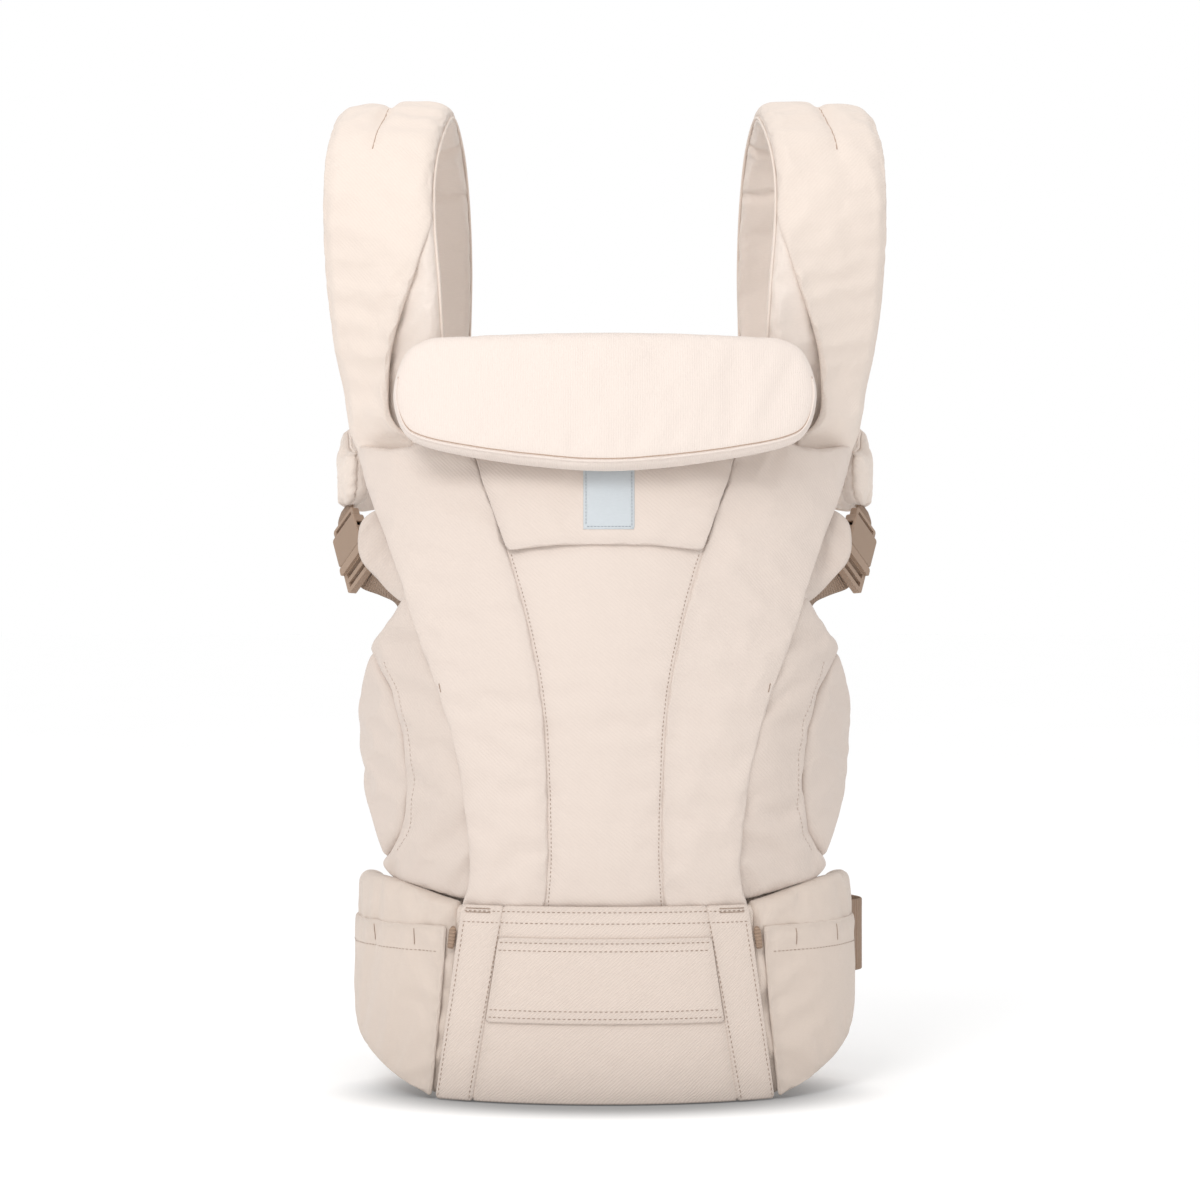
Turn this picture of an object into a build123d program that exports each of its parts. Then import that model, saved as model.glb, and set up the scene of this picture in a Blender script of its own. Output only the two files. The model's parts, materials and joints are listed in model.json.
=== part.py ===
"""Soft structured baby carrier, worn on the front, shown buckled and standing on its waist belt.

Frame: millimetres, +X to the right and -Y forwards as an onlooker faces the carrier, +Z up.
The origin is on the floor, under the middle of the carrier's box.

The cloth pieces lie on two forms: the panel form, an ellipse whose half-width and depth change
with height, and the belt form, an upright elliptical ring. A layer is the space between two
offsets inside such a form, and a piece is a layer cut to its outline.
"""

from build123d import *

import os
from functools import cache

# ---- Driving dimensions -------------------------------------------------------------------------

BELT_HALF_WIDTH = 173.0
BELT_FRONT = 125.0  # depth of the belt form ahead of the origin
BELT_BACK = 151.4  # and behind it
BELT_TOP = 132.0
PANEL_BOTTOM = 134.5
PANEL_TOP = 500.0
YOKE_TOP = 443.0
COVER_LIFT = 0.6  # covers stop this far above the floor, so that the pads carry the load

WAIST_WEBBING = 50.0
STRAP_WEBBING = 25.0
WEBBING_THICKNESS = 1.4
WAIST_WEBBING_Z = 100.0  # height of the middle of the waist webbing

STRAP_THICKNESS = 14.0
CLOTH = 1.5
GAP = 0.25  # between cloth pieces that are sewn or pressed together

HEADREST_THICKNESS = 20.0
HEADREST_RADIUS = 465.0
HEADREST_TILT = -11.0  # the pillow's lower edge stands forward
HEADREST_HINGE = (-120.0, 506.0)  # y, z of the fold along the headrest's top edge

RAIL_X = 108.0
RAIL_RADIUS = 1.75
RAIL_Z = (472.0, 546.0)
CHEST_Z = 500.0

# (height, half-width, depth) of the panel form's outer surface.
PANEL_FORM = [
    (115.0, 165.5, 116.5),
    (160.0, 170.0, 128.0),
    (240.0, 176.0, 139.0),
    (320.0, 176.5, 141.0),
    (400.0, 178.0, 131.0),
    (450.0, 181.0, 121.0),
    (520.0, 184.0, 112.0),
]

# Outlines as seen from the front, for the side where x is positive.
YOKE_OUTER = [(170, 443), (161, 410), (142, 362), (126, 312), (113, 278), (101, 239), (95, 205), (91, 168),
              (91, 148), (95, 132.4)]
SEAM = [(39, 132.4), (37, 167), (38, 217), (40, 255), (45, 292), (54, 332), (64, 366), (72, 391), (84, 427),
        (92, 443)]
WING_TOP = [(136, 339), (147, 320), (157, 301)]
WING_SEAM = [(157, 301), (143, 270), (135, 240), (133, 205), (136, 180), (149, 158)]
WING_BOTTOM = [(145, 150), (130, 149), (110, 146), (92, 147), (72, 148)]
WING_INNER = [(68, 160), (72, 210), (85, 260), (100, 300), (112, 335)]
BOLSTER_OUTER = [(149, 158), (155, 178), (162, 208), (165, 245), (163, 273), (157, 301)]


# ---- Forms and outlines ---------------------------------------------------------------------------


def ellipse_at(half_width, depth, z):
    return Pos(0, 0, z) * Ellipse(half_width, depth)


@cache
def panel_body(offset):
    """Everything inside the panel form, shrunk by offset."""
    return loft([ellipse_at(a - offset, b - offset, z) for z, a, b in PANEL_FORM])


def panel_layer(outer, inner):
    return panel_body(outer) - panel_body(inner)


@cache
def belt_body(offset, low=-5.0, high=160.0):
    """Everything inside the belt form, shrunk by offset: two half ellipses of different depth."""
    halves = []
    for depth, y_side in ((BELT_FRONT, -1), (BELT_BACK, 1)):
        oval = extrude(ellipse_at(BELT_HALF_WIDTH - offset, depth - offset, low), high - low)
        keep = Pos(0, y_side * 150, (low + high) / 2) * Box(500, 300, high - low + 10)
        halves.append(oval & keep)
    return halves[0] + halves[1]


def belt_layer(outer, inner):
    return belt_body(outer) - belt_body(inner)


def front_prism(points, y_from=-260.0, y_to=0.0):
    """A prism whose outline is seen from the front."""
    outline = make_face(Polyline(*[(x, 0, z) for x, z in points], close=True))
    return extrude(Pos(0, y_to, 0) * outline, y_to - y_from, dir=(0, -1, 0))


def side_prism(points, x_from, x_to):
    """A prism whose outline is seen from the side."""
    outline = make_face(Polyline(*[(0, y, z) for y, z in points], close=True))
    return extrude(Pos(x_from, 0, 0) * outline, x_to - x_from, dir=(1, 0, 0))


def smooth(points, steps=6):
    """Points along a smooth curve through the outline's own points."""
    curve = Spline(*[(x, 0, z) for x, z in points])
    count = steps * (len(points) - 1)
    return [(p.X, p.Z) for p in (curve @ (i / count) for i in range(count + 1))]


def inset(points, by):
    """The same edge, moved sideways."""
    return [(x - by, z) for x, z in points]


def symmetric(edge):
    """An outline closed by its own mirror image; the edge runs from the middle or bottom round one side."""
    return edge + [(-x, z) for x, z in edge[::-1]]


def mirrored(shape):
    return mirror(shape, about=Plane.YZ)


def both_sides(name, shape):
    """The shape is the one at positive x, on the onlooker's right."""
    return {f"right_{name}": shape, f"left_{name}": mirrored(shape)}


# ---- Panel ----------------------------------------------------------------------------------------


def make_panel():
    seam = smooth(SEAM)
    yoke = seam[::-1] + [(x, z) for x, z in smooth(YOKE_OUTER)[::-1]]
    centre = symmetric(inset(seam, 0.8) + [(103, PANEL_TOP)])
    wing_seam = smooth(WING_SEAM)
    wing = smooth(WING_TOP, 3)[:-1] + wing_seam + smooth(WING_BOTTOM, 3) + WING_INNER
    bolster = [(x + 0.8, z) for x, z in wing_seam] + smooth(BOLSTER_OUTER)[1:-1]
    lining = symmetric([(66, 136), (64, 160), (67, 210), (79, 260), (94, 300), (106, 335), (116, 380),
                        (118, 430), (98, 498)])

    parts = {
        "centre_panel": panel_layer(5, 11) & front_prism(centre),
        "panel_lining": panel_layer(17, 18.5) & front_prism(lining),
    }
    parts |= both_sides("yoke_panel", panel_layer(0, 5) & front_prism(yoke))
    parts |= both_sides("seat_wing", panel_layer(6, 16) & front_prism(wing))
    parts |= both_sides("leg_bolster", panel_layer(5, 19) & front_prism(bolster))
    return parts


def make_hood_pocket():
    pocket = symmetric([(0.5, 371), (32, 370.5), (64, 368), (72, 391), (80, 415), (90, 452)])
    pack = symmetric([(52, 376), (56, 425)])
    label = [(-14, 382), (19, 382), (19, 432), (-14, 432)]
    return {
        "hood_pocket": panel_layer(-4, -1.8) & front_prism(pocket),
        "stowed_hood": panel_layer(0.4, 3) & front_prism(pack),
        "woven_label": panel_layer(-4.9, -4.15) & front_prism(label),
    }


def make_headrest():
    """Three layers on a gentle upright cylinder, cut to the pillow's outline, then leaned."""
    half = [(0, -85.5), (43, -82.3), (82, -76.3), (115, -68.4), (130, -59), (137, -40), (135, -22), (126, -6.5),
            (109, 0)]
    outline = symmetric(smooth(half)[1:])
    y_hinge, z_hinge = HEADREST_HINGE
    parts = {}
    layers = {
        "headrest_back_cover": (0, CLOTH),
        "headrest_foam": (CLOTH + GAP, HEADREST_THICKNESS - CLOTH - GAP),
        "headrest_front_cover": (HEADREST_THICKNESS - CLOTH, HEADREST_THICKNESS),
    }
    for name, (inner, outer) in layers.items():
        band = Circle(HEADREST_RADIUS + outer) - Circle(HEADREST_RADIUS + inner)
        band = Pos(0, HEADREST_RADIUS, -90) * extrude(band, 95)
        pillow = band & front_prism(outline, y_from=-60, y_to=80)
        parts[name] = Pos(0, y_hinge, z_hinge) * Rot(X=HEADREST_TILT) * pillow
    return parts


# ---- Shoulder straps ------------------------------------------------------------------------------

# Middle surface of the left strap: (outer edge point, inner edge point) from its root on the panel,
# over the shoulder, down the back, and forwards round the side to its lower end.
STRAP_STATIONS = [
    ((-167, -34, 444.5), (-108, -91, 444.5)),
    ((-175, -40, 478), (-110, -96, 478)),
    ((-182, -52, 514), (-112, -101, 514)),
    ((-186, -64, 550), (-113, -103, 550)),
    ((-188, -74, 586), (-115, -100, 586)),
    ((-188, -74, 618), (-115.5, -90, 619)),
    ((-186.5, -58, 647), (-112, -70, 649)),
    ((-182, -14, 672), (-106, -18, 675)),
    ((-177, 34, 655), (-101, 33, 657)),
    ((-172, 63, 620), (-98, 63, 621)),
    ((-170, 80, 575), (-97, 81, 575)),
    ((-170, 86, 530), (-98, 87, 530)),
    ((-171, 86, 490), (-99, 88, 482)),
    ((-175, 76, 467), (-110, 92, 438)),
    ((-181, 54, 457), (-143, 80, 408)),
    ((-185, 24, 450), (-173, 38, 399)),
    ((-184, 0, 443), (-182, 8, 399)),
    ((-181, -14, 437), (-182, -8, 401)),
    ((-177, -27, 437), (-178.5, -22, 401)),
    ((-171, -37, 437), (-172.5, -33, 402)),
]


def strap_section(before, here, after, low, high):
    """A flat section across the strap, from low to high through its thickness."""
    outer, inner = here
    travel = after[0] + after[1] - before[0] - before[1]
    across = (inner - outer).normalized()
    out = across.cross(travel).normalized()
    corners = [outer + out * low, inner + out * low, inner + out * high, outer + out * high]
    return make_face(Polyline(*corners, close=True))


def eased(rows):
    """The same stations with one more between each pair, on a smooth curve through them."""
    points = [[Vector(*p) for p in row] for row in rows]
    result = []
    for i in range(len(points) - 1):
        before, after = points[max(0, i - 1)], points[min(len(points) - 1, i + 2)]
        here, there = points[i], points[i + 1]
        halfway = [(a + b) * 0.5625 - (c + d) * 0.0625 for a, b, c, d in zip(here, there, before, after)]
        result += [here, halfway]
    return result + [points[-1]]


def strap_layer(low, high):
    rows = eased(STRAP_STATIONS)
    sections = []
    for i, here in enumerate(rows):
        before, after = rows[max(0, i - 1)], rows[min(len(rows) - 1, i + 1)]
        sections.append(strap_section(before, here, after, low, high))
    return loft(sections, ruled=True)


def make_straps():
    half = STRAP_THICKNESS / 2
    layers = {
        "strap_lining": (-half, -half + CLOTH),
        "strap_foam": (-half + CLOTH + GAP, half - CLOTH - GAP),
        "strap_cover": (half - CLOTH, half),
    }
    parts = {}
    for name, (low, high) in layers.items():
        left = strap_layer(low, high)
        parts |= {f"left_{name}": left, f"right_{name}": mirrored(left)}
    return parts


# ---- Side-release buckles -------------------------------------------------------------------------


class Buckle:
    """A side-release buckle in its own frame: the plug leaves along +X, its width is along Y, and its
    thickness along Z. The origin is at the middle of the socket's mouth."""

    def __init__(self, webbing):
        self.webbing = webbing
        self.scale = 0.62 + 0.38 * webbing / STRAP_WEBBING
        self.width = webbing + 9 * self.scale
        self.thick = 9.0 * self.scale
        self.socket_length = 24 * self.scale
        self.bar_end = 6.5 * self.scale
        self.base = 7.0 * self.scale
        self.ladder = 22.0 * self.scale  # from the mouth to the end of the plug's ladder
        self.wall = 1.6 * self.scale
        self.arm_y = self.width / 2 - self.wall - 0.35 - 2.1 * self.scale

    def block(self, x0, x1, y_size, z_size, y=0.0, z=0.0, radius=0.0):
        box = Pos((x0 + x1) / 2, y, z) * Box(x1 - x0, y_size, z_size)
        return fillet(box.edges().filter_by(Axis.Z), radius) if radius else box

    def socket(self):
        s, length, wall = self.scale, self.socket_length, self.wall
        body = self.block(-length, 0, self.width, self.thick, radius=2.5 * s)
        body = fillet(body.edges().filter_by(Axis.X), 1.2 * s)
        tail = self.block(-length - self.bar_end, -length + 3 * s, self.width * 0.9, 5 * s, radius=2 * s)
        cavity = self.block(-length + 3.5 * s, 5, self.width - 2 * wall, self.thick - 2 * wall)
        window = self.block(-length + 7 * s, -7 * s, self.width + 10, self.thick - 2 * wall)
        slot = self.block(-length - 4.3 * s, -length - 1.0 * s, self.webbing * 0.98, 20)
        return body + tail - cavity - window - slot

    def plug(self):
        s = self.scale
        base = self.block(0.6, self.base, self.width, self.thick, radius=2.2 * s)
        frame = self.block(self.base - 2 * s, self.ladder, self.width * 0.96, 5 * s, radius=2.5 * s)
        guide = self.block(-self.socket_length + 6 * s, 2, 5 * s, 3.6 * s, radius=1.2 * s)
        slots = [self.block(x * s, (x + 3.6) * s, self.webbing * 0.98, 20) for x in (8.2, 15.2)]
        return base + frame + guide - slots[0] - slots[1]

    def arm(self, side):
        """One of the two springy arms. Its pad shows in the socket's window."""
        s = self.scale
        tip = -self.socket_length + 8.5 * s
        beam = self.block(tip, -0.6, 2.6 * s, 3.6 * s, y=side * self.arm_y)
        pad = self.block(tip, tip + 7 * s, 4.2 * s, 4.6 * s, y=side * self.arm_y, radius=1.1 * s)
        return beam + pad


def place(frame, shape):
    return frame.location * shape


def side_frames():
    """Where the right side's buckle lies, and its local directions."""
    release = Vector(-0.25, -0.52, -0.817).normalized()
    outward = Vector(0.85, -0.5, 0.1)
    outward = (outward - release * outward.dot(release)).normalized()
    return Plane(origin=(172.5, -28.6, 366.0), x_dir=release, z_dir=outward)


def band_along(frame, x0, x1, width, z_mid):
    """A straight length of webbing in a buckle's frame."""
    band = Pos((x0 + x1) / 2, 0, z_mid) * Box(x1 - x0, width, WEBBING_THICKNESS)
    return place(frame, band)


def make_side_buckles():
    buckle, frame = Buckle(STRAP_WEBBING), side_frames()
    under = -buckle.thick / 2 - 0.5 - WEBBING_THICKNESS / 2
    strap_end = -buckle.socket_length - buckle.bar_end
    parts = both_sides("strap_socket", place(frame, buckle.socket()))
    parts |= both_sides("strap_plug", place(frame, buckle.plug()))
    parts |= both_sides("plug_front_arm", place(frame, buckle.arm(-1)))
    parts |= both_sides("plug_rear_arm", place(frame, buckle.arm(1)))
    parts |= both_sides("strap_webbing", band_along(frame, strap_end - 3.9, strap_end - 0.3, STRAP_WEBBING - 1, 0))
    parts |= both_sides("tab_webbing", band_along(frame, 12, 62, STRAP_WEBBING - 1, under))
    return parts


def make_side_tabs():
    """Padded cloth tabs that lean back from the yokes' outer edges and cover the side buckles."""
    outline = [(0, 0), (8, -2), (28, 18), (33, 34), (31, 50), (21, 60), (4, 62)]
    tab = extrude(make_face(Polyline(*[(x, 0, z) for x, z in outline], close=True)), 5, dir=(0, 1, 0))
    tab = fillet(tab.edges().filter_by(Axis.Y), 3)
    return both_sides("side_tab", Pos(139, -72, 336) * Rot(X=-15) * Rot(Z=9) * tab)


# ---- Chest strap ----------------------------------------------------------------------------------

RAIL_Y = 99.5


def make_chest_rails():
    """Each rail is a cord held off the strap by a foot at either end."""
    rails = []
    for side in (-1, 1):
        low, high = RAIL_Z
        rail = Pos(side * RAIL_X, RAIL_Y, (low + high) / 2) * Cylinder(RAIL_RADIUS, high - low)
        for z in (low, high):
            rail += Pos(side * RAIL_X, RAIL_Y - 0.5, z) * Box(7, 4.5, 7)
        rails.append(rail)
    return {"chest_rails": Compound(children=rails)}


def make_chest_strap():
    buckle = Buckle(STRAP_WEBBING * 0.8)
    y_mid = RAIL_Y + 2.5
    frame = Plane(origin=(-9, y_mid, CHEST_Z), x_dir=(1, 0, 0), z_dir=(0, 1, 0))
    under = -buckle.thick / 2 - 0.5 - WEBBING_THICKNESS / 2
    slot_x = RAIL_X - 14
    slider = Pos(RAIL_X - 5, RAIL_Y, CHEST_Z) * Box(26, 7.5, 26)
    slider = fillet(slider.edges().filter_by(Axis.Y), 4)
    slider -= Pos(RAIL_X, RAIL_Y, CHEST_Z) * Cylinder(RAIL_RADIUS + 0.35, 40)
    slider -= Pos(slot_x + 1.5, RAIL_Y, CHEST_Z) * Box(4, 20, 21)
    tail = -buckle.socket_length - buckle.bar_end
    width = buckle.webbing - 1
    socket_side = band_along(frame, -slot_x + 9 + 4, tail - 0.3, width, 0)
    plug_side = band_along(frame, 11, slot_x + 9 - 4, width, under)
    parts = both_sides("chest_slider", slider)
    parts |= {
        "left_chest_webbing": socket_side,
        "right_chest_webbing": plug_side,
        "chest_socket": place(frame, buckle.socket()),
        "chest_plug": place(frame, buckle.plug()),
        "chest_plug_upper_arm": place(frame, buckle.arm(-1)),
        "chest_plug_lower_arm": place(frame, buckle.arm(1)),
    }
    return parts


# ---- Waist belt -----------------------------------------------------------------------------------

STRIP_INNER = [(67.5, BELT_TOP), (88.5, 0)]
STRIP_OUTER = [(102, BELT_TOP), (119, 0)]
POCKET_EDGE = [(110, 117), (123, 0)]
BELT_END_Y = 52.0
# The side of the belt's padded wing, as (y, z).
WING_SIDE = [(-130, 0), (-92, 1.5), (-74, 10), (-55, 22), (-28, 32), (-5, 42), (20, 50), (40, 60),
             (BELT_END_Y, 78), (BELT_END_Y, 122), (40, 138), (20, 145), (-20, 147), (-58, 146), (-80, 141),
             (-101, BELT_TOP), (-130, BELT_TOP)]


def make_belt_front():
    floor = COVER_LIFT
    strip = front_prism(STRIP_INNER + STRIP_OUTER[::-1])
    cover = front_prism(symmetric(inset(STRIP_INNER, 0.7)))
    band = front_prism(symmetric([(70.5, 111), (78.8, 54)]))
    pad = front_prism(symmetric([(104, 0), (104, BELT_TOP)]))
    above_floor = Pos(0, 0, 100 + floor) * Box(500, 500, 200)
    right_strip = belt_layer(0, 3.2) & strip & above_floor
    return {
        "belt_front_pad": belt_layer(4.2, 16) & pad,
        "belt_front_cover": belt_layer(0.8, 3.2) & cover & above_floor,
        "belt_band": belt_layer(-1.3, 0.5) & band,
        "belt_strips": Compound(children=[right_strip, mirrored(right_strip)]),
    }


def make_belt_wings():
    wing = belt_layer(4.2, 16) & side_prism(WING_SIDE, 105, 200)
    pocket_side = [(y, z + COVER_LIFT) for y, z in WING_SIDE[:8]] + [(40, 117), (-130, 117)]
    pocket = belt_layer(0, 2.4) & side_prism(pocket_side, 60, 200)
    pocket &= front_prism([POCKET_EDGE[1], (220, 0), (220, 117), POCKET_EDGE[0]], y_to=100)
    elastic = belt_layer(2.7, 3.9) & side_prism([(-110, 102), (36, 102), (36, 115), (-110, 115)], 109, 200)
    parts = both_sides("belt_wing", wing)
    parts |= both_sides("belt_pocket", pocket)
    parts["pocket_elastics"] = Compound(children=[elastic, mirrored(elastic)])
    return parts


# The left side of the waist's plan: where the padded wing ends, and where the lumbar pad begins.
WING_END = Vector(-153, 52)
PAD_END = Vector(-74, 138.5)
BUCKLE_AT = 46.0  # from the wing's end to the mouth of the waist socket


def waist_line(offset):
    """The waist webbing's plan from the right wing, behind the wearer, to under the plug, moved outwards."""
    straight = (WING_END - PAD_END).normalized()
    under_plug = [PAD_END + straight * run for run in (12, 36, 60)]
    points = [(173.5, 6), (172.5, 24), (165.5, 52), (121, 96), (74, 138.5), (38, 148.5), (0, 151.5), (-38, 148.5),
              (PAD_END.X, PAD_END.Y)]
    line = Spline(*points, *[(p.X, p.Y) for p in under_plug])
    count = 72
    moved = []
    for i in range(count + 1):
        at, along = line @ (i / count), line % (i / count)
        moved.append((at.X + along.Y * offset, at.Y - along.X * offset))
    return moved


def waist_band(inner, outer, height):
    near, far = waist_line(inner), waist_line(outer)
    plan = make_face(Polyline(*near, *far[::-1], close=True))
    return Pos(0, 0, WAIST_WEBBING_Z - height / 2) * extrude(plan, height)


def waist_frame(buckle):
    """The waist buckle's frame, on the straight stretch at the left of the back. It lies on the webbing."""
    along = (PAD_END - WING_END).normalized()
    outward = Vector(-along.Y, along.X)
    lift = buckle.thick / 2 + 0.5 + WEBBING_THICKNESS / 2
    mouth = WING_END + along * BUCKLE_AT + outward * lift + Vector(0, 0, WAIST_WEBBING_Z)
    return Plane(origin=mouth, x_dir=along, z_dir=outward)


def make_waist_fastening():
    buckle = Buckle(WAIST_WEBBING)
    frame = waist_frame(buckle)
    tail = -buckle.socket_length - buckle.bar_end
    pad = belt_layer(-4.5, 15)
    pad &= front_prism(symmetric([(62, 0), (71, 12), (71, 140), (62, 154)]), y_from=20, y_to=260)
    pad -= waist_band(-2.2, 2.2, WAIST_WEBBING + 3)
    return {
        "lumbar_pad": pad,
        "waist_webbing": waist_band(-WEBBING_THICKNESS / 2, WEBBING_THICKNESS / 2, WAIST_WEBBING),
        "waist_short_webbing": band_along(frame, tail - 5, tail - 0.3, WAIST_WEBBING - 2, 0),
        "waist_socket": place(frame, buckle.socket()),
        "waist_plug": place(frame, buckle.plug()),
        "waist_plug_upper_arm": place(frame, buckle.arm(-1)),
        "waist_plug_lower_arm": place(frame, buckle.arm(1)),
    }


# ---- Export ---------------------------------------------------------------------------------------


def main():
    os.makedirs("parts", exist_ok=True)
    parts = {}
    sections = (make_panel, make_hood_pocket, make_headrest, make_straps, make_side_buckles, make_side_tabs,
                make_chest_rails, make_chest_strap, make_belt_front, make_belt_wings, make_waist_fastening)
    for section in sections:
        parts |= section()
    for name, shape in parts.items():
        export_step(shape, f"parts/{name}.step")
    box = Compound(children=[Compound(children=list(s.solids())) for s in parts.values()]).bounding_box()
    print(len(parts), "nodes; box from", box.min, "to", box.max)


main()
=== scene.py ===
"""The looks of the soft baby carrier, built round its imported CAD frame.

Lengths in this script are millimetres in the row frame until a mesh is made, and metres after that.
Cloth lies on two oval forms, the panel's and the belt's. A form's chart unrolls it: s runs round it and
z up it, and inset is the depth below its surface. A pad is a closed, stuffed shape on a chart, and what
is sewn onto a pad is laid on it by casting rays.
"""

import json
import math

import bpy
import numpy as np
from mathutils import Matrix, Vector
from mathutils.bvhtree import BVHTree
from mathutils.geometry import delaunay_2d_cdt

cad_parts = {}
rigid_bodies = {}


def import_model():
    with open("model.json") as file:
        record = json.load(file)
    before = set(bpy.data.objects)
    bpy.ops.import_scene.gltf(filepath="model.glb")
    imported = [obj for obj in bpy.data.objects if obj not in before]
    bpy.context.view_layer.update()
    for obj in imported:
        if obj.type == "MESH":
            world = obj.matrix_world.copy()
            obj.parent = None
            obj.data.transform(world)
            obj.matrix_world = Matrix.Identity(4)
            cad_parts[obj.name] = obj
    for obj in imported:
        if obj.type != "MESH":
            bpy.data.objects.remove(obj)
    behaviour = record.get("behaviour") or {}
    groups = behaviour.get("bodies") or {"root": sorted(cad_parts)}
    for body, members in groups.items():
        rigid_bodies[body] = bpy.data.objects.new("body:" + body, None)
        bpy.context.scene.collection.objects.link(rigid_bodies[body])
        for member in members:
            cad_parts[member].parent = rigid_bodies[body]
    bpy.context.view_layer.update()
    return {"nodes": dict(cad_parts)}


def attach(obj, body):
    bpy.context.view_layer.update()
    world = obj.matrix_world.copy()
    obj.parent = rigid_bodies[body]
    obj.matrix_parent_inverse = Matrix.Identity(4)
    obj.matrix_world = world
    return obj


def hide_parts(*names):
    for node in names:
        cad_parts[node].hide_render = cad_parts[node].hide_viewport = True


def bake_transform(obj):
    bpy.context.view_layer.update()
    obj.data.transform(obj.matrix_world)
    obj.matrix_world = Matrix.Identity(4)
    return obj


for leftover in list(bpy.data.objects):
    bpy.data.objects.remove(leftover)
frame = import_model()

MM = 0.001
ROOT = "carrier"
SIDES = {"right": 1, "left": -1}

# ---- Driving sizes, as in the frame --------------------------------------------------------------

# (height, half-width, depth) of the panel's form.
PANEL_FORM = [
    (115, 165.5, 116.5), (160, 170, 128), (240, 176, 139), (320, 176.5, 141),
    (400, 178, 131), (450, 181, 121), (520, 184, 112),
]
BELT_HALF_WIDTH = 173.0
BELT_FRONT = 125.0
BELT_BACK = 151.4
BELT_TOP = 132.0
PANEL_TOP = 500.0

HEADREST_HINGE = (-120.0, 506.0)  # y, z
HEADREST_TILT = math.radians(-11.0)
HEADREST_RADIUS = 465.0
HEADREST_THICKNESS = 20.0

WAIST_WEBBING = 50.0
STRAP_WEBBING = 25.0
WAIST_WEBBING_Z = 100.0
RAIL_X, CHEST_Z = 108.0, 500.0

# Outlines seen from the front, on the side where x is positive.
YOKE_TOP_EDGE = [(158, 439.6), (145, 437.6), (133, 438.6), (122, 441.5), (108, 443)]
YOKE_OUTER = [(170, 443), (161, 410), (142, 362), (126, 312), (113, 278), (101, 239), (95, 205), (91, 168),
              (91, 148), (95, 132.4), (97, 124)]
SEAM = [(92, 443), (84, 427), (72, 391), (64, 366), (54, 332), (45, 292), (40, 255), (38, 217), (37, 167),
        (39, 132.4), (40, 124)]
WING_EDGE = [(133, 341), (147, 320), (157, 301), (144, 272), (136, 240), (134, 205), (138, 178), (149, 158),
             (148, 150), (139, 143), (120, 139), (104, 135.5), (90, 134)]
BOLSTER_SEAM = [(157, 301), (144, 272), (136, 240), (134, 205), (138, 178), (149, 158)]

STITCH_PITCH = 3.4
STITCH_LENGTH = 2.1
STITCH_SPACING = 1.7  # between the points that carry a row of stitches

# ---- Curves --------------------------------------------------------------------------------------


def resample(path, spacing):
    """Points at even spacing along a path, ends kept."""
    path = np.asarray(path, float)
    along = run_along(path)
    count = max(2, int(round(along[-1] / spacing)) + 1)
    at = np.linspace(0, along[-1], count)
    return np.stack([np.interp(at, along, column) for column in path.T], axis=1)


def smooth(points, spacing=2.0):
    """Points at even spacing on a smooth curve through the given ones."""
    p = np.asarray(points, float)
    p = np.vstack([2 * p[0] - p[1], p, 2 * p[-1] - p[-2]])
    t = np.linspace(0, 1, 16, endpoint=False)[:, None]
    spans = []
    for a, b, c, d in zip(p, p[1:], p[2:], p[3:]):
        spans.append(0.5 * (2 * b + (c - a) * t + (2 * a - 5 * b + 4 * c - d) * t**2
                            + (3 * b - a - 3 * c + d) * t**3))
    return resample(np.vstack(spans + [p[-2:-1]]), spacing)


def between(x, xs, ys):
    """A smooth curve through (xs, ys), read at x."""
    xs, ys, x = np.asarray(xs, float), np.asarray(ys, float), np.asarray(x, float)
    slopes = np.gradient(ys, xs)
    i = np.clip(np.searchsorted(xs, x) - 1, 0, len(xs) - 2)
    h = xs[i + 1] - xs[i]
    t = np.clip((x - xs[i]) / h, -0.5, 1.5)
    return ((1 + 2 * t) * (1 - t)**2 * ys[i] + t * (1 - t)**2 * h * slopes[i]
            + t**2 * (3 - 2 * t) * ys[i + 1] + t**2 * (t - 1) * h * slopes[i + 1])


def run_along(path):
    """The distance run along a path at each of its points."""
    return np.concatenate([[0], np.cumsum(np.linalg.norm(np.diff(path, axis=0), axis=1))])


def ramp(x, start, end):
    """Rises smoothly from 0 at start to 1 at end."""
    t = np.clip((np.asarray(x, float) - start) / (end - start), 0, 1)
    return t * t * (3 - 2 * t)


def mirror_x(points):
    return np.asarray(points, float) * np.array([-1, 1] + [1] * (np.shape(points)[1] - 2))


def noise(u, v, scale, seed):
    """Smooth noise from -1 to 1 over a chart, with features about scale millimetres across."""
    wave = np.random.RandomState(seed)
    total = np.zeros_like(np.asarray(u, float))
    for _ in range(7):
        angle, phase = wave.uniform(0, 2 * np.pi, 2)
        k = 2 * np.pi / (scale * wave.uniform(0.7, 1.5))
        total += np.sin(k * (np.cos(angle) * u + np.sin(angle) * v) + phase)
    return total / 4.5


# ---- Charts --------------------------------------------------------------------------------------


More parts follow.
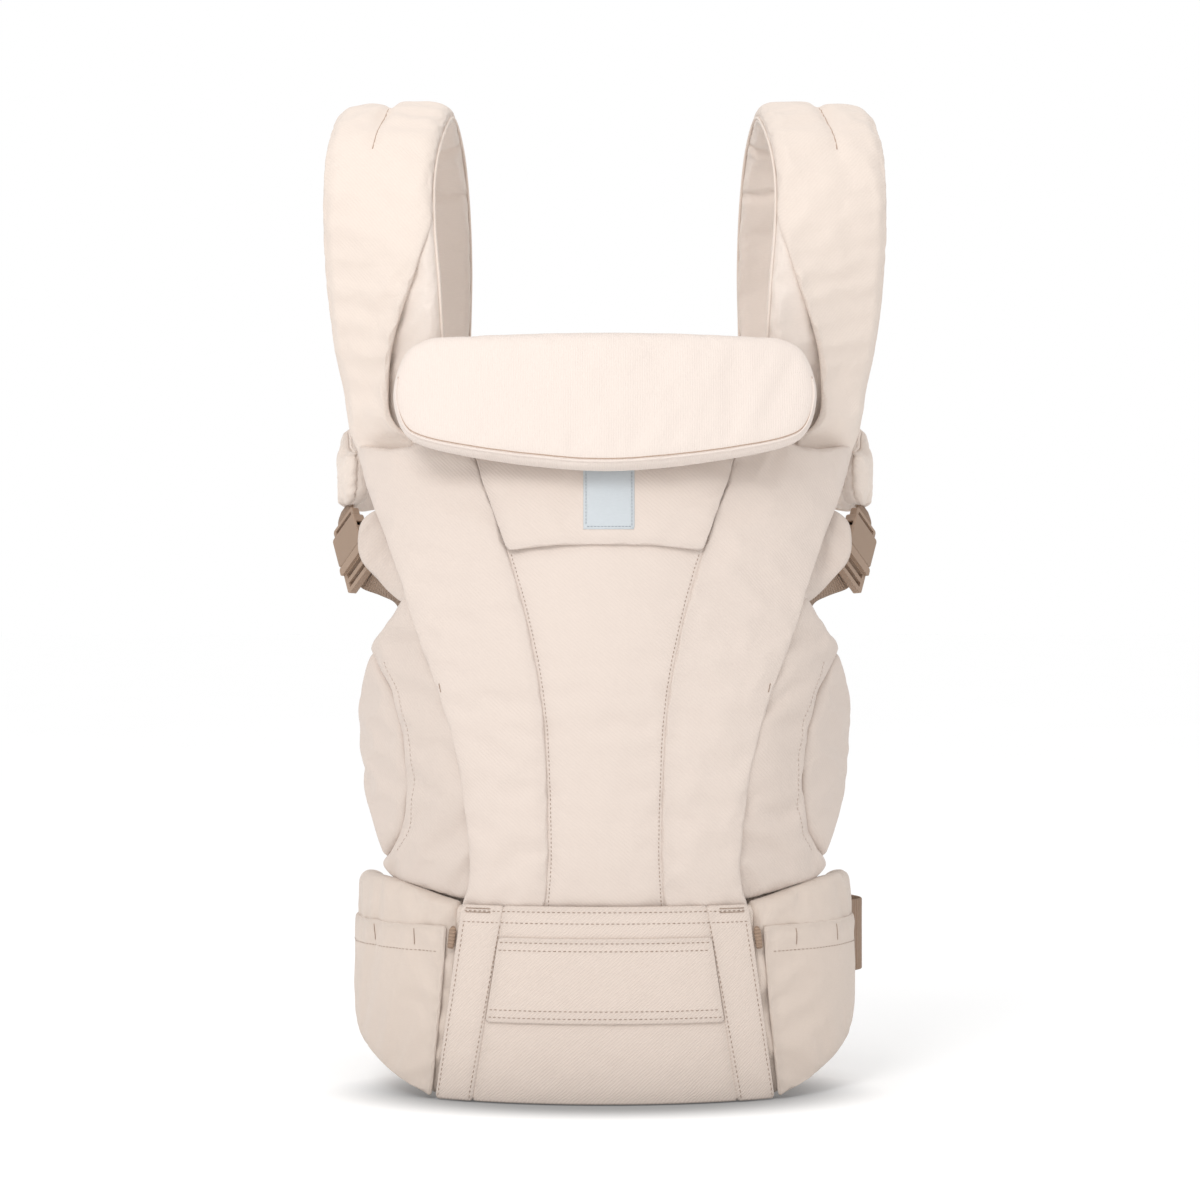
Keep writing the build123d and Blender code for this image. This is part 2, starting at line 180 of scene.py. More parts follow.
class Oval:
    """An upright oval form. The chart's s is the angle from the front times UNROLL."""

    UNROLL = 150.0

    def __init__(self, stations, back=None):
        self.heights, self.widths, self.depths = np.array(stations, float).T
        self.back = back

    def sizes(self, z):
        return between(z, self.heights, self.widths), between(z, self.heights, self.depths)

    def __call__(self, s, z, inset):
        angle = s / self.UNROLL
        width, depth = self.sizes(z)
        back = depth if self.back is None else self.back
        depth = np.where(np.cos(angle) > 0, depth, back)
        x, y = (width - inset) * np.sin(angle), -(depth - inset) * np.cos(angle)
        return np.stack([x, y, z + 0 * s], axis=-1)

    def unroll(self, outline, inset=0.0):
        """(x, z) seen from the front, inset below the surface, to (s, z)."""
        x, z = np.asarray(outline, float).T
        width, _ = self.sizes(z)
        return np.stack([self.UNROLL * np.arcsin(np.clip(x / (width - inset), -1, 1)), z], axis=1)

    def from_side(self, outline, side=1):
        """(y, z) seen from the side to (s, z)."""
        y, z = np.asarray(outline, float).T
        _, depth = self.sizes(z)
        back = depth if self.back is None else self.back
        front_angle = np.arccos(np.clip(-y / depth, 0, 1))
        back_angle = np.pi / 2 + np.arcsin(np.clip(y / back, 0, 1))
        return np.stack([side * self.UNROLL * np.where(y < 0, front_angle, back_angle), z], axis=1)


PANEL = Oval(PANEL_FORM)
BELT = Oval([(0, BELT_HALF_WIDTH, BELT_FRONT), (150, BELT_HALF_WIDTH, BELT_FRONT)], back=BELT_BACK)


def headrest_chart(u, v, depth):
    """The pillow's chart: u across and v up from the fold; depth counts down from the front face."""
    radius = HEADREST_RADIUS + HEADREST_THICKNESS - depth
    x = radius * np.sin(u / HEADREST_RADIUS)
    y = HEADREST_RADIUS - radius * np.cos(u / HEADREST_RADIUS)
    y_hinge, z_hinge = HEADREST_HINGE
    c, s = math.cos(HEADREST_TILT), math.sin(HEADREST_TILT)
    return np.stack([x, y_hinge + y * c - v * s, z_hinge + y * s + v * c], axis=-1)


# ---- Meshes --------------------------------------------------------------------------------------

MADE = {}


def add_mesh(name, points, faces, cloth):
    """A mesh object from millimetre points. cloth is each point's place on the flat cloth."""
    mesh = bpy.data.meshes.new(name)
    mesh.from_pydata((np.asarray(points) * MM).tolist(), [], [list(map(int, f)) for f in faces])
    mesh.update()
    mesh.shade_smooth()
    layer = mesh.attributes.new("cloth", "FLOAT_VECTOR", "POINT")
    flat = np.zeros((len(points), 3), np.float32)
    flat[:, :np.shape(cloth)[1]] = cloth
    layer.data.foreach_set("vector", flat.ravel())
    obj = bpy.data.objects.new(name, mesh)
    bpy.context.scene.collection.objects.link(obj)
    MADE[name] = obj
    return obj


def finish_piece(obj, material, slot, replaced=(), body=ROOT):
    """Gives a piece its material, hides the nodes that it replaces and puts it on its body; slot is not used.
    """
    obj.data.materials.clear()
    obj.data.materials.append(material)
    if replaced:
        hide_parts(*replaced)
    if body:
        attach(obj, body)
    return obj


def cut_from(outline, chart, inset=0.0):
    """Measures a sheet's chart outline out along the form, and keeps nothing."""
    s, z = outline.T
    steps = np.linspace(0, 1, 25)[:, None] * s
    along = np.diff(chart(steps, z + 0 * steps, inset), axis=0)


def distance_to(points, path):
    """How far each chart point is from a closed path."""
    best = np.full(len(points), 1e9)
    for a, e in zip(path, np.roll(path, -1, axis=0) - path):
        t = np.clip(((points - a) @ e) / max(e @ e, 1e-9), 0, 1)
        best = np.minimum(best, np.linalg.norm(points - (a + t[:, None] * e), axis=1))
    return best


def inside(points, path):
    """Which chart points are inside a closed path."""
    x, y = points.T
    hit = np.zeros(len(points), bool)
    for (x0, y0), (x1, y1) in zip(path, np.roll(path, -1, axis=0)):
        crosses = (y0 > y) != (y1 > y)
        hit ^= crosses & (x < (x1 - x0) * (y - y0) / (y1 - y0 + 1e-12) + x0)
    return hit


def inward(edge):
    """Unit directions into a closed outline, one for each of its points."""
    along = np.roll(edge, -1, axis=0) - np.roll(edge, 1, axis=0)
    along /= np.maximum(np.linalg.norm(along, axis=1, keepdims=True), 1e-9)
    x, y = edge.T
    turn = np.sign(np.sum(x * np.roll(y, -1) - y * np.roll(x, -1)))
    return np.stack([-along[:, 1], along[:, 0]], axis=1) * turn


def fill(outline, spacing, roll=0.0):
    """Triangulates a closed outline, with rows of points along its rolled edge.
    Returns points, triangles and how many points are on the edge."""
    outline = np.vstack([outline, outline[:1]])
    along = min(spacing, 3.6)
    edge = resample(outline, along)[:-1]
    rows = []
    reach = 0.0
    for share in (0.1, 0.32, 0.65, 1.05):
        if roll * share > reach + 0.35:
            reach = roll * share
            row = edge + inward(edge) * reach
            row = row[inside(row, edge)]
            rows.append(row[distance_to(row, edge) > reach * 0.93])
    low, high = edge.min(axis=0), edge.max(axis=0)
    grid = []
    for i, y in enumerate(np.arange(low[1], high[1], spacing * 0.866)):
        x = np.arange(low[0] + (i % 2) * spacing / 2, high[0], spacing)
        grid.append(np.stack([x, np.full_like(x, y)], axis=1))
    grid = np.vstack(grid)
    grid = grid[inside(grid, edge)]
    grid = grid[distance_to(grid, edge) > reach + spacing * 0.6]
    points = np.vstack([edge] + rows + [grid])
    ring = [(i, (i + 1) % len(edge)) for i in range(len(edge))]
    done = delaunay_2d_cdt([Vector(p) for p in points.tolist()], ring, [], 1, 1e-4)
    if not all(done[3]):
        raise ValueError("an outline crosses itself")
    triangles = np.array([[done[3][i][0] for i in f] for f in done[2]])
    corners = points[triangles]
    side_a, side_b = corners[:, 1] - corners[:, 0], corners[:, 2] - corners[:, 0]
    turn = side_a[:, 0] * side_b[:, 1] - side_a[:, 1] * side_b[:, 0]
    triangles[turn < 0] = triangles[turn < 0][:, ::-1]
    return points, triangles, len(edge)


def pad(name, outline, chart, thickness, inset=0.0, spacing=4.5, roll=7.0, crown=0.0, wrinkle=0.0, seed=1):
    """A closed, stuffed shape. Front and back meet along the outline and roll over within roll of it."""
    points, triangles, on_edge = fill(outline, spacing, roll)
    edge = points[:on_edge]
    depth = distance_to(points, edge)
    depth[:on_edge] = 0
    rise = np.sqrt(1 - (1 - np.clip(depth / roll, 0, 1))**2)
    swell = crown * (1 - np.exp(-depth / 14.0))
    swell = swell + wrinkle * noise(*points.T, 22.0, seed) * np.clip(depth / 6, 0, 1)
    front = chart(*points.T, inset + thickness / 2 * (1 - rise) - swell)
    back = chart(*points[on_edge:].T, inset + thickness / 2 * (1 + rise[on_edge:]))
    count = len(points)
    back_index = np.concatenate([np.arange(on_edge), np.arange(count, count + len(back))])
    faces = np.vstack([triangles, back_index[triangles][:, ::-1]])
    obj = add_mesh(name, np.vstack([front, back]), faces, cloth=np.vstack([points, points[on_edge:]]))
    group(obj, "seam", np.concatenate([np.ones(on_edge), np.zeros(len(front) - on_edge + len(back))]))
    group(obj, "back", np.concatenate([np.ones(on_edge), np.zeros(len(front) - on_edge), np.ones(len(back))]))
    # Painted shade near the seams: how close each point is to the outline, which the cloth materials darken
    # by.
    near = np.exp(-np.concatenate([depth, depth[on_edge:]]) / 3.0)
    shade = obj.data.attributes.new("painted_seam_shade", "FLOAT", "POINT")
    shade.data.foreach_set("value", near.astype(np.float32))
    return obj


def group(obj, name, weights):
    made = obj.vertex_groups.new(name=name)
    for i in np.nonzero(weights)[0]:
        made.add([int(i)], float(weights[i]), "REPLACE")


def coordinates(obj, evaluated=False):
    source = obj.evaluated_get(bpy.context.evaluated_depsgraph_get()).data if evaluated else obj.data
    flat = np.zeros(len(source.vertices) * 3, np.float32)
    source.vertices.foreach_get("co", flat)
    return flat.reshape(-1, 3).astype(float)


def set_coordinates(obj, points):
    obj.data.vertices.foreach_set("co", np.asarray(points, np.float32).ravel())
    obj.data.update()


# ---- Cloth simulation ----------------------------------------------------------------------------

SOFT = []


def soften(obj, pressure, growth, cap, pins="back"):
    """Lists a pad for the one simulation: it swells under pressure, its cloth a little too large."""
    SOFT.append((obj, pressure, growth, cap, pins))


def simulate(frames=20):
    """Swells every listed pad at once, caps how far each point may move, and leaves no Cloth behind."""
    starts = {}
    for obj, pressure, growth, _, pins in SOFT:
        starts[obj.name] = coordinates(obj)
        cloth = obj.modifiers.new("swell", "CLOTH")
        settings = cloth.settings
        settings.quality = 4
        settings.mass = 0.25
        settings.tension_stiffness = 18
        settings.compression_stiffness = 18
        settings.shear_stiffness = 6
        settings.bending_stiffness = 0.6
        settings.air_damping = 2
        settings.use_pressure = True
        settings.uniform_pressure_force = pressure
        settings.shrink_min = -growth
        settings.vertex_group_mass = pins
        settings.pin_stiffness = 1
        settings.effector_weights.gravity = 0
        cloth.point_cache.frame_start = 1
        cloth.point_cache.frame_end = frames
    scene = bpy.context.scene
    for number in range(1, frames + 1):
        scene.frame_set(number)
    for obj, _, _, cap, _ in SOFT:
        moved = coordinates(obj, evaluated=True)
        start = starts[obj.name]
        step = moved - start
        length = np.linalg.norm(step, axis=1, keepdims=True)
        limit = cap * MM
        step *= limit * np.tanh(length / limit) / np.maximum(length, 1e-9)
        obj.modifiers.remove(obj.modifiers["swell"])
        set_coordinates(obj, start + step)
    scene.frame_set(1)


def subdivide(obj):
    modifier = obj.modifiers.new("smooth", "SUBSURF")
    modifier.levels = modifier.render_levels = 1


def cushion(name, outline, chart, thickness, material, replaced, stuffing, swell=None, slot="cover_fabric",
            body=ROOT, **cut):
    """A finished pad. swell, where it's given, is its pressure, growth and cap for soften, and its pins."""
    obj = finish_piece(pad(name, outline, chart, thickness, **cut), material, slot, replaced, body)
    if swell:
        soften(obj, *swell)
    return obj


# ---- Laying things on pads -----------------------------------------------------------------------


class Surface:
    """The outside of some pieces, to lay other things on."""

    def __init__(self, *objs):
        graph = bpy.context.evaluated_depsgraph_get()
        points, faces = [], []
        for obj in objs:
            mesh = obj.evaluated_get(graph).to_mesh()
            start = len(points)
            points += [v.co.copy() for v in mesh.vertices]
            faces += [[start + i for i in p.vertices] for p in mesh.polygons]
        self.tree = BVHTree.FromPolygons(points, faces)

    def under(self, outside, towards, lift=0.0):
        """Where each line from outside towards its aim meets the surface, or the aim: (points, normals)."""
        places, normals = [], []
        for start, aim in zip(np.asarray(outside) * MM, np.asarray(towards) * MM):
            line = Vector(aim - start)
            hit, normal, _, _ = self.tree.ray_cast(Vector(start), line.normalized(), line.length * 1.6)
            if hit is None:
                hit, normal = Vector(aim), -line.normalized()
            if normal.dot(line) > 0:
                normal = -normal
            places.append(np.array(hit) / MM + np.array(normal) * lift)
            normals.append(np.array(normal))
        return np.array(places), np.array(normals)

    def on_chart(self, chart, uv, lift=0.0, inset=0.0, reach=14.0):
        uv = np.asarray(uv, float)
        return self.under(chart(*uv.T, inset - reach), chart(*uv.T, inset + 6.0), lift)


def even_normals(normals):
    for _ in range(2):
        normals = normals + np.roll(normals, 1, axis=0) + np.roll(normals, -1, axis=0)
        normals /= np.maximum(np.linalg.norm(normals, axis=1, keepdims=True), 1e-9)
    return normals


def laid(name, outline, chart, surface, thickness, lift, spacing, roll, inset):
    """A sewn-on layer: it lies on the surface, and its edges are folded under."""
    points, triangles, on_edge = fill(outline, spacing, roll)
    depth = distance_to(points, points[:on_edge])
    depth[:on_edge] = 0
    rise = np.sqrt(1 - (1 - np.clip(depth / roll, 0, 1))**2)
    base, normals = surface.on_chart(chart, points, 0.0, inset)
    top = base + normals * (lift + thickness * rise)[:, None]
    low = (base + normals * (lift - 0.8))[on_edge:]
    rim = base[:on_edge] + normals[:on_edge] * (lift - 0.8)
    count = len(points)
    rim_index = np.arange(count, count + on_edge)
    low_index = np.arange(count + on_edge, count + on_edge + len(low))
    under = np.concatenate([rim_index, low_index])
    faces = triangles.tolist() + under[triangles][:, ::-1].tolist()
    for i in range(on_edge):
        j = (i + 1) % on_edge
        faces.append([j, i, rim_index[i], rim_index[j]])
    cloth = np.vstack([points, points[:on_edge], points[on_edge:]])
    return add_mesh(name, np.vstack([top, rim, low]), faces, cloth=cloth)


def skin(count, sides):
    """Faces of a closed bar: sides lines of count points each, and a cap at both ends."""
    faces = []
    for k in range(sides):
        m = (k + 1) % sides
        for i in range(count - 1):
            faces.append([k * count + i, k * count + i + 1, m * count + i + 1, m * count + i])
    faces.append([k * count for k in range(sides)])
    faces.append([k * count + count - 1 for k in range(sides)][::-1])
    return faces


def tube(name, path, radius, normals, sides=8):
    """A cord along a path, with a side towards each of its normals."""
    path = np.asarray(path, float)
    along = np.gradient(path, axis=0)
    along /= np.linalg.norm(along, axis=1, keepdims=True)
    across = np.cross(along, normals)
    across /= np.linalg.norm(across, axis=1, keepdims=True)
    up = np.cross(across, along)
    rings, flat = [], []
    length = run_along(path)
    for k in range(sides):
        angle = 2 * np.pi * k / sides
        rings.append(path + radius * (np.cos(angle) * across + np.sin(angle) * up))
        flat.append(np.stack([np.full(len(path), radius * angle), length], axis=1))
    return add_mesh(name, np.vstack(rings), skin(len(path), sides), cloth=np.vstack(flat))


def stitch_mesh(rows, length=STITCH_LENGTH, pitch=STITCH_PITCH, radius=0.34):
    """Thread along rows of (points, normals): each stitch is a small capsule that dips in at both ends."""
    points, faces, flat = [], [], []
    profile = [(-0.5, 0.25, -0.5), (-0.38, 0.85, -0.1), (0.0, 1.0, 0.12), (0.38, 0.85, -0.1),
               (0.5, 0.25, -0.5)]
    sides = 5
    for path, normals in rows:
        steps = run_along(path)
        for at in np.arange(pitch * 0.6, steps[-1] - pitch * 0.4, pitch):
            ends = [np.array([np.interp(at + d, steps, c) for c in path.T])
                    for d in (-length / 2, length / 2)]
            up = np.array([np.interp(at, steps, c) for c in normals.T])
            along = ends[1] - ends[0]
            across = np.cross(along, up)
            across /= max(np.linalg.norm(across), 1e-9)
            up = np.cross(across, along)
            up /= max(np.linalg.norm(up), 1e-9)
            middle = (ends[0] + ends[1]) / 2
            base = len(points)
            for f, r, h in profile:
                centre = middle + along * f + up * radius * h
                for k in range(sides):
                    angle = 2 * np.pi * k / sides
                    points.append(centre + radius * r * (np.cos(angle) * across + np.sin(angle) * up))
                    flat.append((at, angle))
            for ring in range(len(profile) - 1):
                for k in range(sides):
                    m = (k + 1) % sides
                    a, b = base + ring * sides, base + (ring + 1) * sides
                    faces.append([a + k, a + m, b + m, b + k])
            faces.append([base + k for k in range(sides)][::-1])
            faces.append([base + (len(profile) - 1) * sides + k for k in range(sides)])
    return points, faces, flat


def stitches(name, rows, material, body=ROOT, slot="cover_fabric", **sizes):
    points, faces, flat = stitch_mesh(rows, **sizes)
    obj = add_mesh(name, points, faces, cloth=flat)
    return finish_piece(obj, material, slot, body=body)


def on_surface(surface, chart, path, lift, inset=0.0):
    """A stitch row's points and normals along a chart path."""
    places, normals = surface.on_chart(chart, resample(path, STITCH_SPACING), lift, inset)
    return places, even_normals(normals)


# ---- Materials -----------------------------------------------------------------------------------


def linear(red, green, blue):
    """Blender's linear colour for 0-255 screen values."""
    channels = (red, green, blue)
    return tuple(c / 255 / 12.92 if c <= 10 else ((c / 255 + 0.055) / 1.055)**2.4 for c in channels) + (1,)


class Nodes:
    """Short calls for wiring up a material."""

    def __init__(self, name):
        self.material = bpy.data.materials.new(name)
        self.material.use_nodes = True
        self.tree = self.material.node_tree
        self.shader = self.tree.nodes["Principled BSDF"]

    def add(self, kind, **settings):
        node = self.tree.nodes.new("ShaderNode" + kind)
        for key, value in settings.items():
            setattr(node, key, value)
        return node

    def link(self, source, target):
        self.tree.links.new(source, target)

    def put(self, socket, value):
        if hasattr(value, "is_output"):
            self.link(value, socket)
        else:
            socket.default_value = value

    def math(self, operation, a, b=0.0, c=0.0):
        node = self.add("Math", operation=operation)
        for socket, value in zip(node.inputs, (a, b, c)):
            self.put(socket, value)
        return node.outputs[0]

    def dot(self, vector, direction):
        node = self.add("VectorMath", operation="DOT_PRODUCT")
        self.link(vector, node.inputs[0])
        node.inputs[1].default_value = direction
        return node.outputs["Value"]

    def wave(self, vector, direction, pitch):
        """A sine from -1 to 1 that repeats every pitch along direction."""
        x, y = direction
        size = 2 * math.pi / pitch / math.hypot(x, y)
        return self.math("SINE", self.dot(vector, (x * size, y * size, 0)))

    def cloud(self, vector, size, detail=2.0, stretch=(1, 1, 1)):
        """Noise around 0.5 with features about size across, in the vector's own units."""
        scaled = self.add("VectorMath", operation="MULTIPLY")
        self.link(vector, scaled.inputs[0])
        scaled.inputs[1].default_value = stretch
        node = self.add("TexNoise")
        node.inputs["Scale"].default_value = 1 / size
        node.inputs["Detail"].default_value = detail
        self.link(scaled.outputs[0], node.inputs["Vector"])
        return node.outputs[0]

    def mix(self, amount, a, b):
        node = self.add("Mix", data_type="RGBA")
        self.put(node.inputs["Factor"], amount)
        self.put(node.inputs["A"], a)
        self.put(node.inputs["B"], b)
        return node.outputs["Result"]

    def attribute(self, name, output="Vector"):
        return self.add("Attribute", attribute_name=name).outputs[output]

    def bump(self, height, distance, strength=1.0, under=None):
        node = self.add("Bump")
        node.inputs["Strength"].default_value = strength
        node.inputs["Distance"].default_value = distance
        self.link(height, node.inputs["Height"])
        if under is not None:
            self.link(under, node.inputs["Normal"])
        return node.outputs["Normal"]


def shade(colour, factor):
    return tuple(c * factor for c in colour[:3]) + (1,)


def weave_height(n, weave, flat):
    """Height of the threads from -1 to 1 for each kind of cloth."""
    if weave == "twill":
        ridge = n.wave(flat, (1, -1), 1.7)
        thread = n.wave(flat, (1, 0.6), 1.1)
        return n.math("MULTIPLY_ADD", thread, 0.12, ridge)
    if weave == "fine twill":
        return n.wave(flat, (1, 1), 1.9)
    if weave == "canvas":
        return n.math("MULTIPLY", n.wave(flat, (1, 0), 0.75), n.wave(flat, (0, 1), 0.75))
    if weave == "knit":
        rib = n.wave(flat, (1, 0), 1.5)
        loop = n.wave(flat, (0, 1), 1.1)
        return n.math("MULTIPLY_ADD", loop, 0.25, rib)
    if weave == "jersey":
        rib = n.wave(flat, (1, 0), 0.9)
        loop = n.wave(flat, (0.5, 1), 0.9)
        return n.math("MULTIPLY_ADD", loop, 0.6, rib)
    chevron = n.math("ABSOLUTE", n.wave(flat, (1, 0), 12.0))  # webbing
    along = n.math("MULTIPLY", n.dot(flat, (0, 1, 0)), 2 * math.pi / 2.4)
    return n.math("SINE", n.math("MULTIPLY_ADD", chevron, 1.2, along))


def cloth_material(name, colour, weave, depth, contrast=0.05, roughness=0.9, sheen=0.25, fuzz=0.25):
    """Woven or knitted cloth: threads as bump and tone, slubs, faint shading by area, painted shade near
    seams, soft sheen.
    """
    n = Nodes(name)
    flat = n.attribute("cloth")
    place = n.add("TexCoord").outputs["Object"]
    height = weave_height(n, weave, flat)
    slub = n.cloud(flat, 1.1, 3.0, (0.35, 1, 1))
    fibre = n.cloud(flat, 0.45, 2.0)
    broad = n.cloud(place, 0.09, 3.0)
    seam = n.attribute("painted_seam_shade", "Fac")
    tone = n.math("MULTIPLY_ADD", height, contrast * 0.5, 1 - contrast * 0.5)
    tone = n.math("MULTIPLY_ADD", n.math("SUBTRACT", slub, 0.5), contrast * 1.8, tone)
    tone = n.math("MULTIPLY_ADD", n.math("SUBTRACT", broad, 0.5), 0.07, tone)
    # Painted shade: the cloth is darkened near each pad's outline, where its seams lie in shade.
    tone = n.math("MULTIPLY_ADD", seam, -0.10, tone)
    base = n.mix(n.math("MULTIPLY", broad, 0.5), colour, shade(colour, 0.965))
    tinted = n.add("VectorMath", operation="SCALE")
    n.link(base, tinted.inputs[0])
    n.link(tone, tinted.inputs["Scale"])
    n.link(tinted.outputs[0], n.shader.inputs["Base Color"])
    rough = n.math("MULTIPLY_ADD", n.math("SUBTRACT", slub, 0.5), 0.12, roughness)
    n.link(rough, n.shader.inputs["Roughness"])
    n.shader.inputs["Specular IOR Level"].default_value = 0.28
    n.shader.inputs["Sheen Weight"].default_value = sheen
    n.shader.inputs["Sheen Roughness"].default_value = 0.45
    n.shader.inputs["Sheen Tint"].default_value = (1.0, 0.97, 0.94, 1)
    threads = n.bump(height, depth * MM)
    fluff = n.bump(fibre, fuzz * MM, 0.6, threads)
    rumple = n.bump(n.cloud(place, 0.028, 2.0), 0.9 * MM, 0.7, fluff)
    n.link(rumple, n.shader.inputs["Normal"])
    return n.material


def plastic_material(name, colour):
    """Moulded acetal: satin, a fine spark-eroded grain, a little paler on its sharp outer edges."""
    n = Nodes(name)
    place = n.add("TexCoord").outputs["Object"]
    grain = n.cloud(place, 0.0006, 3.0)
    broad = n.cloud(place, 0.02, 2.0)
    edge = n.add("NewGeometry").outputs["Pointiness"]
    # Paler where the surface is sharply convex.
    convex_edge_paling = n.add("MapRange")
    n.link(edge, convex_edge_paling.inputs["Value"])
    for key, value in (("From Min", 0.5), ("From Max", 0.58), ("To Min", 0.0), ("To Max", 0.35)):
        convex_edge_paling.inputs[key].default_value = value
    base = n.mix(n.math("MULTIPLY", broad, 0.6), colour, shade(colour, 0.9))
    n.link(n.mix(convex_edge_paling.outputs[0], base, shade(colour, 1.25)), n.shader.inputs["Base Color"])
    n.link(n.math("MULTIPLY_ADD", grain, 0.18, 0.38), n.shader.inputs["Roughness"])
    n.link(n.bump(grain, 0.06 * MM), n.shader.inputs["Normal"])
    n.shader.inputs["Specular IOR Level"].default_value = 0.45
    return n.material


def thread_material(name, colour):
    """Plied sewing thread, twisted about its own length."""
    n = Nodes(name)
    flat = n.attribute("cloth")
    ply = n.wave(flat, (1, 2.2), 0.9)
    tone = n.math("MULTIPLY_ADD", ply, 0.06, 0.94)
    tinted = n.add("VectorMath", operation="SCALE")
    tinted.inputs[0].default_value = colour[:3]
    n.link(tone, tinted.inputs["Scale"])
    n.link(tinted.outputs[0], n.shader.inputs["Base Color"])
    n.shader.inputs["Roughness"].default_value = 0.7
    n.shader.inputs["Sheen Weight"].default_value = 0.2
    n.link(n.bump(ply, 0.08 * MM), n.shader.inputs["Normal"])
    return n.material


CREAM = linear(229, 215, 204)
COTTON = cloth_material("cotton_twill_fine", CREAM, "fine twill", 0.03, contrast=0.025)
# The panel and side cottons are the cream cotton made darker as painted shade: the panel's for the lower
# front, the side's for the wings, leg edges and tabs that face away from the light.
PANEL_COTTON_PAINTED_SHADE = cloth_material("panel_twill_painted_shade", linear(222, 208, 198), "fine twill", 0.03, contrast=0.025)
SIDE_COTTON_PAINTED_SHADE = cloth_material("side_twill_painted_shade", linear(214, 200, 190), "fine twill", 0.03, contrast=0.025)
TWILL = cloth_material("cotton_twill", linear(221, 206, 195), "twill", 0.07, contrast=0.05)
KNIT = cloth_material("fine_knit", linear(232, 219, 210), "knit", 0.06, contrast=0.022, sheen=0.35)
JERSEY = cloth_material("jersey", linear(217, 202, 190), "jersey", 0.05, contrast=0.03, sheen=0.3)
LINING = cloth_material("brushed_lining", linear(238, 225, 215), "canvas", 0.06, contrast=0.04, sheen=0.35,
                        fuzz=0.4)
PADDING = cloth_material("pad_cover", linear(223, 208, 196), "twill", 0.10, contrast=0.045)
WEBBING = cloth_material("tan_webbing", linear(160, 134, 114), "webbing", 0.30, contrast=0.16, sheen=0.12,
                         fuzz=0.15)
ELASTIC = cloth_material("tan_elastic", linear(172, 146, 126), "webbing", 0.25, contrast=0.18, sheen=0.1)
LABEL = cloth_material("woven_label", linear(204, 210, 214), "canvas", 0.05, contrast=0.05, sheen=0.2)
PLASTIC = plastic_material("tan_plastic", linear(158, 134, 115))
# The tan thread is partly its own colour and partly painted shade: its darkness stands in for the shadows of
# the needle holes, and it also draws the shadow lines of the headrest seam and strap darts.
THREAD = thread_material("tan_thread_painted_shade", linear(188, 160, 140))
PALE_THREAD = thread_material("cream_thread", linear(228, 209, 195))
BLUE_THREAD = thread_material("grey_thread", linear(164, 172, 180))

# ---- Panel ---------------------------------------------------------------------------------------


def both_outline(edge):
    """An outline closed by its mirror image; the edge runs from the bottom up one side."""
    edge = np.asarray(edge, float)
    return np.vstack([edge, mirror_x(edge)[::-1]])


def shift(edge, dx, dz=0.0):
    return np.asarray(edge, float) + np.array([dx, dz])


def make_panel():
    seam, yoke_edge = smooth(SEAM), smooth(YOKE_OUTER)[::-1]
    centre = both_outline(np.vstack([shift(seam, 2.5)[::-1], [(102, 470), (100, PANEL_TOP)]]))
    body = cushion("centre_panel_cloth", PANEL.unroll(centre, 6), PANEL, 8.0, PANEL_COTTON_PAINTED_SHADE, ["centre_panel"],
                   0.5, (0.25, 0.006, 2.0), inset=2.0, spacing=5, roll=3, crown=0.6, wrinkle=0.35, seed=3)
    lining = both_outline([(82, 136), (84, 160), (88, 210), (98, 260), (110, 300), (118, 335), (124, 380),
                           (124, 430), (98, 498)])
    inner = pad("panel_lining_cloth", PANEL.unroll(lining), PANEL, 1.8, inset=17, spacing=6, roll=1.5)
    finish_piece(inner, LINING, "lining_fabric", ["panel_lining"])
    cut_from(PANEL.unroll(lining), PANEL, 17)
    for name, side in SIDES.items():
        outline = np.vstack([seam, yoke_edge, YOKE_TOP_EDGE])
        if side < 0:
            outline = mirror_x(outline)
        cushion(f"{name}_yoke", PANEL.unroll(outline, 2.5), PANEL, 5.0, PANEL_COTTON_PAINTED_SHADE, [f"{name}_yoke_panel"],
                0.45, (0.35, 0.008, 2.5), inset=0, spacing=4.5, roll=3.0, crown=0.5, wrinkle=0.5,
                seed=11 + side)
        make_seat_side(name, side)


def make_seat_side(name, side):
    """The padded wing beside the yoke, and the padded leg edge sewn round it."""
    inner = [(72, 142), (71, 165), (72, 210), (85, 260), (100, 300), (112, 335)]
    wing = np.vstack([smooth(WING_EDGE), inner])
    bolster_outer = smooth([(147, 156), (154, 178), (162, 208), (165.5, 245), (164, 273), (156, 302)])
    bolster = np.vstack([shift(smooth(BOLSTER_SEAM), -1.8), bolster_outer[1:-1]])
    if side < 0:
        wing, bolster = mirror_x(wing), mirror_x(bolster)
    cushion(f"{name}_seat_wing_cloth", PANEL.unroll(wing, 9.5), PANEL, 12.0, SIDE_COTTON_PAINTED_SHADE,
            [f"{name}_seat_wing"], 0.6, (0.9, 0.02, 5.0), inset=4.5, spacing=4.5, roll=9, crown=1.5,
            wrinkle=0.8, seed=21 + side)
    cushion(f"{name}_leg_edge", PANEL.unroll(bolster, 9), PANEL, 15.0, SIDE_COTTON_PAINTED_SHADE, [f"{name}_leg_bolster"],
            0.75, (0.9, 0.02, 4.0), inset=2.5, spacing=4.0, roll=10, crown=1.0, wrinkle=0.5, seed=31 + side)
    corners = [(66, 116), (104, 117), (136, 121), (140, 134), (136, 152), (104, 156), (66, 156)]
    flat = PANEL.unroll(corners, 16)
    gusset = pad(f"{name}_seat_gusset", flat * np.array([side, 1]), PANEL, 2.0, inset=15.5, spacing=5,
                 roll=1.2, crown=0.3, wrinkle=0.6, seed=37)
    finish_piece(gusset, LINING, "lining_fabric")
    cut_from(flat, PANEL, 15.5)


# ---- Hood pocket and label -----------------------------------------------------------------------


